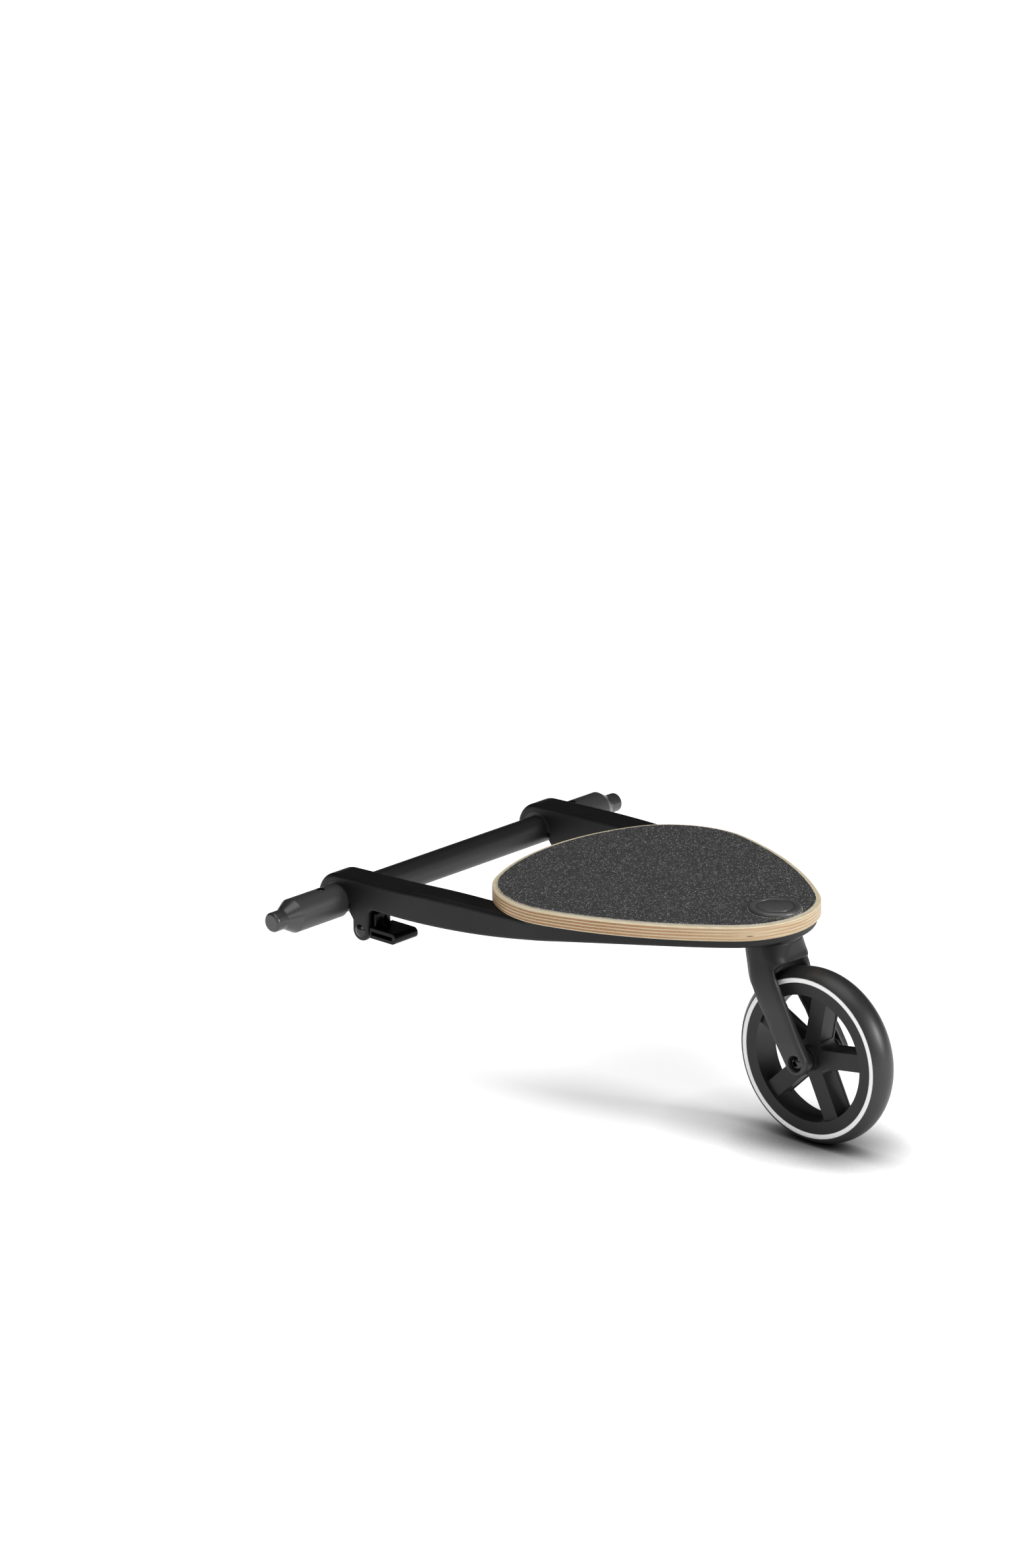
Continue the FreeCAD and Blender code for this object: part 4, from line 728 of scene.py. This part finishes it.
scatter, scatter_in, scatter_out = new_geometry_tree("scatter_grains", {
    "Density": GRAIN_DENSITY, "Grain Size": GRAIN_SIZE, "Seed": GRAIN_SEED})
spots = put(scatter, "GeometryNodeDistributePointsOnFaces", {
    "Mesh": scatter_in["Geometry"], "Density": scatter_in["Density"], "Seed": scatter_in["Seed"]})
strew(scatter, scatter_in, scatter_out, spots.outputs["Points"], "grip_grain")

grip_grains = grow("grip_grains", sheet_top, scatter, "board", "grip")
print("grains:", len(grip_grains.data.polygons) // CRYSTAL_FACES)

# %% [markdown]
# ## Cut edge of the sheet
# A knife leaves the sheet's edge ragged: tiny pale crumbs of the backing stand along the outline
# and, three rows deep, round the cap. They follow a path, so a second tree turns the edges into
# curves, places a point about every millimetre, shakes the points and sets a crumb on each.

# %% Cut edge of the sheet
CRUMB_GAP, CRUMB_SIZE, CRUMB_SEED = 0.0011, 0.00038, 3
CRUMB_SHAKE, SHAKE_LOW, SHAKE_HIGH = 0.00025, (-1.0, -1.0, -0.6), (1.0, 1.0, 0.2)
SWIVEL_Y = -0.1317
CAP_RIM = 22.0
CAP_R = CAP_RIM * MM
CAP_CUTS = [CAP_R + 0.0002, CAP_R + 0.0004, CAP_R + 0.0006]
CUT_STEPS = 96


def cut_lines():
    """Edges only: the sheet's outline and the rows just outside the cap."""
    form = bmesh.new()
    form.from_mesh(sheet_top)
    axis = Vector((0.0, SWIVEL_Y, 0.0))
    lines = []
    for rim_edge in form.edges:
        start, end = [corner.co.copy() for corner in rim_edge.verts]
        if rim_edge.is_boundary and ((start + end) / 2 - axis).xy.length > CAP_R:
            lines.append([start, end])
    sheet_z = max(corner.co.z for corner in form.verts)
    form.free()
    turns = [math.tau * i / CUT_STEPS for i in range(CUT_STEPS + 1)]
    for reach in CAP_CUTS:
        row = [Vector((reach * math.cos(turn), SWIVEL_Y + reach * math.sin(turn), sheet_z))
               for turn in turns]
        lines += [[a, b] for a, b in zip(row, row[1:])]
    mesh = bpy.data.meshes.new("cut_lines")
    points = [point for pair in lines for point in pair]
    mesh.from_pydata(points, [(2 * i, 2 * i + 1) for i in range(len(lines))], [])
    form = bmesh.new()
    form.from_mesh(mesh)
    bmesh.ops.remove_doubles(form, verts=form.verts, dist=MERGE_GAP)
    form.to_mesh(mesh)
    form.free()
    return mesh


ragged, ragged_in, ragged_out = new_geometry_tree("ragged_edge", {
    "Gap": CRUMB_GAP, "Shake": CRUMB_SHAKE, "Grain Size": CRUMB_SIZE, "Seed": CRUMB_SEED})
edge_curve = put(ragged, "GeometryNodeMeshToCurve", {"Mesh": ragged_in["Geometry"]})
stations = put(ragged, "GeometryNodeResampleCurve", {
    "Curve": edge_curve.outputs["Curve"], "Length": ragged_in["Gap"]}, mode="LENGTH")
shift = put(ragged, "ShaderNodeVectorMath", {
    0: at_random(ragged, ragged_in["Seed"], SHAKE_LOW, SHAKE_HIGH), "Scale": ragged_in["Shake"]},
    operation="SCALE")
shaken = put(ragged, "GeometryNodeSetPosition", {
    "Geometry": stations.outputs[0], "Offset": shift.outputs[0]})
strew(ragged, ragged_in, ragged_out, shaken.outputs[0], "cut_backing")

cut_edge = grow("cut_edge", cut_lines(), ragged, "board", "grip")
print("crumbs:", len(cut_edge.data.polygons) // CRYSTAL_FACES)

# %% [markdown]
# ## Tyre and rings
# The tyre and the rings in its walls are bodies of revolution, so each is a profile spun about its
# axis. The tread is one round arc, and a shallow groove sets the ring apart from the rubber. Many
# steps keep the outlines round in a close view. BMesh has a spin operator, but the order of its
# faces changes from run to run, so each face is laid here in turn. Profiles are pairs of a place
# along the axis and a radius, in millimetres.

# %% Tyre and rings
SPIN_STEPS, SPIN_MERGE = 160, 1e-7
WHEEL_AXIS = Vector((0.0, AXLE_Y, AXLE_Z)), Vector((1.0, 0.0, 0.0)), Vector((0.0, 0.0, 1.0))
TREAD_EDGE, TREAD_TOP, TREAD_STEPS = (13.2, 68.9), 75.0, 22
TYRE_WALL = [(9.4, 58.2), (9.4, 64.2), (12.2, 64.2), (12.2, 68.4), (12.95, 68.4), (13.15, 68.55)]
TYRE_SMOOTH, RING_SMOOTH = math.radians(50), math.radians(60)
RING_LOW, RING_HIGH, RING_STEPS = 64.35, 68.25, 10
RING_SEAT, RING_FACE, RING_BULGE = 12.2, 12.75, 0.5


def spun(profile, turned_about, smooth_angle, finish, closed=True):
    """Profile spun about an axis, which is a point, the axis's direction and a way out from it."""
    centre, along, out = turned_about
    form = bmesh.new()
    rows = []
    for step in range(SPIN_STEPS):
        way = Matrix.Rotation(math.tau * step / SPIN_STEPS, 3, along) @ out
        places = [centre + along * (a * MM) + way * (r * MM) for a, r in profile]
        rows.append([form.verts.new(place) for place in places])
    for row, following in zip(rows, rows[1:] + rows[:1]):
        for i in range(0 if closed else 1, len(profile)):
            form.faces.new((row[i - 1], row[i], following[i], following[i - 1]))
    bmesh.ops.remove_doubles(form, verts=form.verts, dist=SPIN_MERGE)
    bmesh.ops.recalc_face_normals(form, faces=form.faces)
    for face in form.faces:
        face.smooth = True
    mesh = bpy.data.meshes.new("spun")
    form.to_mesh(mesh)
    form.free()
    mesh.set_sharp_from_angle(angle=smooth_angle)
    mesh.materials.append(finishes[finish])
    return mesh


def arc(centre, reach_a, reach_r, start, end, steps):
    """Points on an elliptic arc, from one angle to another, in degrees."""
    angles = [math.radians(start + (end - start) * i / steps) for i in range(steps + 1)]
    return [(centre[0] + reach_a * math.cos(t), centre[1] + reach_r * math.sin(t)) for t in angles]


half_tyre = TYRE_WALL + [TREAD_EDGE]
sag = TREAD_TOP - TREAD_EDGE[1]
tread_r = (TREAD_EDGE[0] ** 2 + sag ** 2) / (2 * sag)
tread_turn = math.degrees(math.asin(TREAD_EDGE[0] / tread_r))
tread_ends = 90 - tread_turn, 90 + tread_turn
tread = arc((0.0, TREAD_TOP - tread_r), tread_r, tread_r, *tread_ends, TREAD_STEPS)
tyre_profile = half_tyre + tread[1:-1] + [(-a, r) for a, r in reversed(half_tyre)]
tyre_mesh = spun(tyre_profile, WHEEL_AXIS, TYRE_SMOOTH, "tyre_rubber")
tyre = stand("tyre_turned", tyre_mesh, "wheel")
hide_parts("tyre")

ring_centre = RING_FACE, (RING_LOW + RING_HIGH) / 2
half_ring = [(RING_SEAT, RING_LOW)]
half_ring += arc(ring_centre, RING_BULGE, (RING_HIGH - RING_LOW) / 2, -90, 90, RING_STEPS)
half_ring += [(RING_SEAT, RING_HIGH)]
for side, sign in SIDES.items():
    ring_profile = [(sign * a, r) for a, r in half_ring]
    ring_mesh = spun(ring_profile, WHEEL_AXIS, RING_SMOOTH, "reflective_film")
    ring = stand("reflective_ring_" + side, ring_mesh, "wheel")
    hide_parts("reflector_" + side)
print("faces: tyre", len(tyre_mesh.polygons), "ring", len(ring_mesh.polygons))

# %% [markdown]
# ## Cap
# The round cap over the pivot is spun in the same way. It has a soft shoulder, and one engraved
# ring in place of a badge. A thin wall below its rim reaches down into the sheet and the plywood.

# %% Cap
CAP_AXIS = Vector((0.0, SWIVEL_Y, 0.0)), Vector((0.0, 0.0, 1.0)), Vector((1.0, 0.0, 0.0))
CAP_BASE, CAP_TOP, CAP_FOOT = 190.0, 193.4, 185.0
CAP_SHOULDER, SHOULDER_STEPS = 2.3, 12
GROOVE = [(0.0, 14.4), (0.15, 14.65), (0.8, 14.9), (0.8, 16.1), (0.15, 16.35), (0.0, 16.6)]
WALL_OUT, WALL_IN = 17.0, 15.2
CAP_SMOOTH = math.radians(40)

cap_profile = [(CAP_TOP, 0.0)] + [(CAP_TOP - depth, r) for depth, r in GROOVE]
shoulder = CAP_TOP - CAP_SHOULDER, CAP_RIM - CAP_SHOULDER
cap_profile += arc(shoulder, CAP_SHOULDER, CAP_SHOULDER, 0, 90, SHOULDER_STEPS)
cap_profile += [(CAP_BASE, CAP_RIM), (CAP_BASE, WALL_OUT), (CAP_FOOT, WALL_OUT),
                (CAP_FOOT, WALL_IN), (CAP_BASE, WALL_IN), (CAP_BASE, 0.0)]
cap_mesh = spun(cap_profile, CAP_AXIS, CAP_SMOOTH, "cap_black", closed=False)
cap = stand("cap_turned", cap_mesh, "board")
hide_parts("pivot_cap")
print("faces: cap", len(cap_mesh.polygons))

# %% [markdown]
# ## Latch springs
# Each latch has a small torsion spring round its pin: three turns of round wire and two straight
# legs, one on the lever and one on the frame. Wire follows a path, so a Geometry Nodes tree draws
# the coil, adds the legs and sweeps a round section along them.

# %% Latch springs
PIN_X, PIN_Y, PIN_Z = 0.12675, 0.2033, 0.1288
COIL_R, COIL_L, COIL_TURNS, COIL_STEPS = 0.0048, 0.0057, 3.0, 24
WIRE_R, WIRE_SIDES = 0.00055, 10
LEVER_LEG, FRAME_LEG = -0.008, 0.006
ON_PIN = (math.pi, math.pi / 2, 0.0)

coil_tree, coil_in, coil_out = new_geometry_tree("wound_spring", {
    "Radius": COIL_R, "Turns": COIL_TURNS, "Length": COIL_L, "Wire": WIRE_R, "Side": 1.0})
coil = put(coil_tree, "GeometryNodeCurveSpiral", {
    "Resolution": COIL_STEPS, "Rotations": coil_in["Turns"], "Height": coil_in["Length"],
    "Start Radius": coil_in["Radius"], "End Radius": coil_in["Radius"]})


def coil_leg(height, length):
    """A straight leg from one end of the coil."""
    ends = [put(coil_tree, "ShaderNodeCombineXYZ", {
        "X": coil_in["Radius"], "Y": y, "Z": height}).outputs[0] for y in (0.0, length)]
    return put(coil_tree, "GeometryNodeCurvePrimitiveLine", {"Start": ends[0], "End": ends[1]})


wires = put(coil_tree, "GeometryNodeJoinGeometry")
for wire in (coil_leg(coil_in["Length"], FRAME_LEG), coil_leg(0.0, LEVER_LEG), coil):
    feed(wires, 0, wire.outputs["Curve"])
section = put(coil_tree, "GeometryNodeCurvePrimitiveCircle", {
    "Resolution": WIRE_SIDES, "Radius": coil_in["Wire"]})
swept = put(coil_tree, "GeometryNodeCurveToMesh", {
    "Curve": wires.outputs[0], "Profile Curve": section.outputs["Curve"], "Fill Caps": True})
coil_x = sums(coil_tree, "ADD", times(coil_tree, coil_in["Side"], PIN_X),
              times(coil_tree, coil_in["Length"], 0.5))
coil_place = put(coil_tree, "ShaderNodeCombineXYZ", {"X": coil_x, "Y": PIN_Y, "Z": PIN_Z})
laid = put(coil_tree, "GeometryNodeTransform", {
    "Geometry": swept.outputs["Mesh"], "Translation": coil_place.outputs[0], "Rotation": ON_PIN})
smoothed = put(coil_tree, "GeometryNodeSetShadeSmooth", {"Geometry": laid.outputs[0]})
end_tree(coil_tree, coil_out, smoothed.outputs[0], "spring_steel")

for side, sign in SIDES.items():
    start = bpy.data.meshes.new("seed")
    spring = grow("latch_coil_" + side, start, coil_tree, "latch_" + side, "steel", Side=sign)
    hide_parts("latch_spring_" + side)
    reach = [corner.co.x / MM for corner in spring.data.vertices]
    print(spring.name, "from x", round(min(reach), 1), "to", round(max(reach), 1), "mm")

# %% [markdown]
# ## Deck screws
# Six flat-head screws hold the plywood from below. A screw repeats, so a tree makes one: a tapered
# head with a cross recess cut by a boolean, and a plain shank. The two bars that cut the cross
# differ in depth, because a boolean is unsure of faces that lie in one plane. The tree sets a copy
# on each point of the start mesh, turned by a different angle, since nobody lines up the slots.

# %% Deck screws
SCREW_ROWS = (0.084, 0.0703), (0.078, 0.0043), (0.034, -0.0697)
SCREW_SPOTS = [(sign * x, y) for x, y in SCREW_ROWS for sign in SIDES.values()]
SCREW_Z, SCREW_SEED = 0.170, 5
SCREW_HEAD_R, SCREW_HEAD_TOP_R, SCREW_HEAD_H, HEAD_SIDES = 0.0040, 0.0034, 0.0016, 40
SCREW_R, SCREW_L, SHANK_SIDES = 0.0020, 0.0134, 24
RECESS_L, RECESS_W = 0.0046, 0.0009
RECESS_H, RECESS_H_SECOND = 0.0010, 0.0009

screw_tree, screw_in, screw_out = new_geometry_tree("deck_screw", {
    "Head Radius": SCREW_HEAD_R, "Head Height": SCREW_HEAD_H, "Shank Radius": SCREW_R,
    "Shank Length": SCREW_L, "Seed": SCREW_SEED})
head = put(screw_tree, "GeometryNodeMeshCone", {
    "Vertices": HEAD_SIDES, "Radius Bottom": screw_in["Head Radius"],
    "Radius Top": SCREW_HEAD_TOP_R, "Depth": screw_in["Head Height"]})
recessed = put(screw_tree, "GeometryNodeMeshBoolean", {"Mesh 1": head.outputs["Mesh"]},
               operation="DIFFERENCE")
for bar_size in ((RECESS_L, RECESS_W, 2 * RECESS_H), (RECESS_W, RECESS_L, 2 * RECESS_H_SECOND)):
    bar = put(screw_tree, "GeometryNodeMeshCube", {"Size": bar_size})
    feed(recessed, "Mesh 2", bar.outputs["Mesh"])
shank = put(screw_tree, "GeometryNodeMeshCylinder", {
    "Vertices": SHANK_SIDES, "Radius": screw_in["Shank Radius"], "Depth": screw_in["Shank Length"]})
shank_z = sums(screw_tree, "MULTIPLY_ADD", screw_in["Shank Length"], 0.5, screw_in["Head Height"])
shank_up = put(screw_tree, "GeometryNodeTransform", {
    "Geometry": shank.outputs["Mesh"],
    "Translation": put(screw_tree, "ShaderNodeCombineXYZ", {"Z": shank_z}).outputs[0]})
whole = put(screw_tree, "GeometryNodeJoinGeometry")
for screw_part in (shank_up.outputs[0], recessed.outputs["Mesh"]):
    feed(whole, 0, screw_part)
slot_turn = at_random(screw_tree, screw_in["Seed"], (0.0, 0.0, 0.0), (0.0, 0.0, math.tau))
screws = put(screw_tree, "GeometryNodeInstanceOnPoints", {
    "Points": screw_in["Geometry"], "Instance": whole.outputs[0], "Rotation": slot_turn})
end_tree(screw_tree, screw_out, screws.outputs[0], "zinc_steel")

spots_mesh = bpy.data.meshes.new("screw_spots")
spots_mesh.from_pydata([(x, y, SCREW_Z) for x, y in SCREW_SPOTS], [], [])
deck_screws = grow("deck_screws_cross", spots_mesh, screw_tree, "board", "steel")
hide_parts("deck_screws")
print("screws:", len(SCREW_SPOTS), "faces:", len(deck_screws.data.polygons))

# %% [markdown]
# ## Softened fork
# The fork is one moulding whose round crown flows into flat legs, and in the CAD model they meet
# along a crease. A merged copy is rebuilt here on a grid of small cubes, which gives an even mesh
# that can be shaped like clay. The front of the neck is drawn forward and its web down a little,
# the rear of the crown is drawn in, and the outer edges of the legs below it are drawn back. Then a
# Smooth modifier melts the crease. A vertex group tells it where, so that the eyes for the axle,
# the hole for the stem and the edge of the rear arch keep their form.

# %% Softened fork
FORK_VOXEL = 0.0007
LEG_SLOPE, LEG_TOP_Y, LEG_HALF = math.tan(math.radians(32.0)), SWIVEL_Y - 0.004, 0.0134
NECK_DRAW, NECK_BELL = 0.0045, (0.124, 0.026)
WEB_HALF, WEB_FADE, WEB_TUCK = 0.0165, 0.004, (0.124, 0.140)
FOOT_DROP, FOOT_BELL = 0.006, (0.131, 0.007)
BEHIND = (0.002, 0.010)
CROWN_IN, CROWN_SPAN = 0.0028, (0.149, 0.157)
HEEL_OUT, HEEL_BELL, LEG_EDGE = 0.0021, (0.144, 0.005), (0.0205, 0.0235)
MELT_LOW, MELT_HIGH, MELT_FADE = 0.092, 0.162, 0.012
MELT_ROUNDS, MELT_FACTOR = 140, 0.5
EDGE_MELT, REAR_KEEP = 0.12, 0.8
STEM_KEEP = (0.009, 0.013)


def modified(mesh, kind, weights=None, **settings):
    """A mesh after one modifier, which a vertex group may hold back."""
    carrier = placed("carrier", mesh)
    modifier = carrier.modifiers.new(kind, kind)
    for name, value in settings.items():
        setattr(modifier, name, value)
    if weights:
        group = carrier.vertex_groups.new(name="melt")
        for index, weight in enumerate(weights):
            group.add([index], weight, "REPLACE")
        modifier.vertex_group = group.name
    bpy.context.view_layer.update()
    shaped = carrier.evaluated_get(bpy.context.evaluated_depsgraph_get())
    result = bpy.data.meshes.new_from_object(shaped)
    bpy.data.objects.remove(carrier)
    return result


def fade(value, low, high):
    """Smooth step from 0 at low to 1 at high."""
    share = min(1.0, max(0.0, (value - low) / (high - low)))
    return share * share * (3 - 2 * share)


def bell(value, middle, width):
    """1 at the middle, falling to nothing on both sides."""
    return math.exp(-((value - middle) / width) ** 2)


fork_mesh = modified(merged_copy("fork"), "REMESH", mode="VOXEL", voxel_size=FORK_VOXEL)
melt = []
for vertex in fork_mesh.vertices:
    x, y, z = vertex.co
    leg_y = min(LEG_TOP_Y, AXLE_Y + LEG_SLOPE * (z - AXLE_Z))
    ahead = fade(y - leg_y, 0.0, LEG_HALF)
    web = ahead * fade(-abs(x), -WEB_HALF - WEB_FADE, -WEB_HALF)
    tuck = web * (1 - fade(z, *WEB_TUCK))
    behind = fade(leg_y - y, *BEHIND)
    heel = fade(abs(x), *LEG_EDGE) * bell(z, *HEEL_BELL)
    vertex.co.y += (ahead - tuck) * NECK_DRAW * bell(z, *NECK_BELL)
    vertex.co.z -= web * FOOT_DROP * bell(z, *FOOT_BELL)
    vertex.co.y += behind * (CROWN_IN * fade(z, *CROWN_SPAN) - HEEL_OUT * heel)
    band = fade(z, MELT_LOW, MELT_LOW + MELT_FADE) * fade(-z, -MELT_HIGH, MELT_FADE - MELT_HIGH)
    off_stem = fade(math.hypot(x, y - SWIVEL_Y), *STEM_KEEP)
    melt.append(EDGE_MELT + (1 - EDGE_MELT) * band * off_stem * (1 - REAR_KEEP * behind))
fork_mesh = modified(fork_mesh, "SMOOTH", melt, factor=MELT_FACTOR, iterations=MELT_ROUNDS)
fork_mesh.shade_smooth()
fork_mesh.materials.clear()
fork_mesh.materials.append(finishes["fork_black"])
fork = stand("fork_softened", fork_mesh, "caster")
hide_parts("fork")
print("fork:", len(fork_mesh.polygons), "faces")

# %% [markdown]
# ## Dress the CAD solids
# The other solids keep their CAD mesh, which already has the true surfaces and normals. Each only
# needs its finish, so a short table names the nodes that take each one. The solids that a finer
# mesh stands in for are dressed as well.

# %% Dress the CAD solids
DRESSED = {
    "bar_coat": ["cross_bar"],
    "sleeve_coat_painted_light": ["bar_sleeve_left", "bar_sleeve_right"],
    "cap_black": ["pivot_cap"],
    "plug_black": ["bar_plug_left", "bar_plug_right"],
    "frame_black": ["frame"],
    "lever_black": ["latch_lever_left", "latch_lever_right"],
    "fork_black": ["fork"],
    "rim_black": ["wheel_rim", "axle_spacer_left", "axle_spacer_right"],
    "liner_grey": ["hub_liner_left", "hub_liner_right", "thrust_washer", "swivel_bush_lower",
                   "swivel_bush_upper"],
    "birch_plywood": ["deck"],
    "grip_sheet": ["grip_sheet"],
    "tyre_rubber": ["tyre"],
    "reflective_film": ["reflector_left", "reflector_right"],
    "blackened_steel": ["sleeve_screws", "latch_pin_left", "latch_pin_right", "axle_bolt"],
    "spring_steel": ["latch_spring_left", "latch_spring_right"],
    "zinc_steel": ["deck_screws", "swivel_stem", "stem_washer", "stem_clip", "axle_nut",
                   "wheel_bearing_left", "wheel_bearing_right"],
}

for finish, dressed_nodes in DRESSED.items():
    for node_name in dressed_nodes:
        for material_slot in nodes[node_name].material_slots:
            material_slot.material = finishes[finish]
print("dressed", sum(map(len, DRESSED.values())), "of", len(nodes), "nodes")
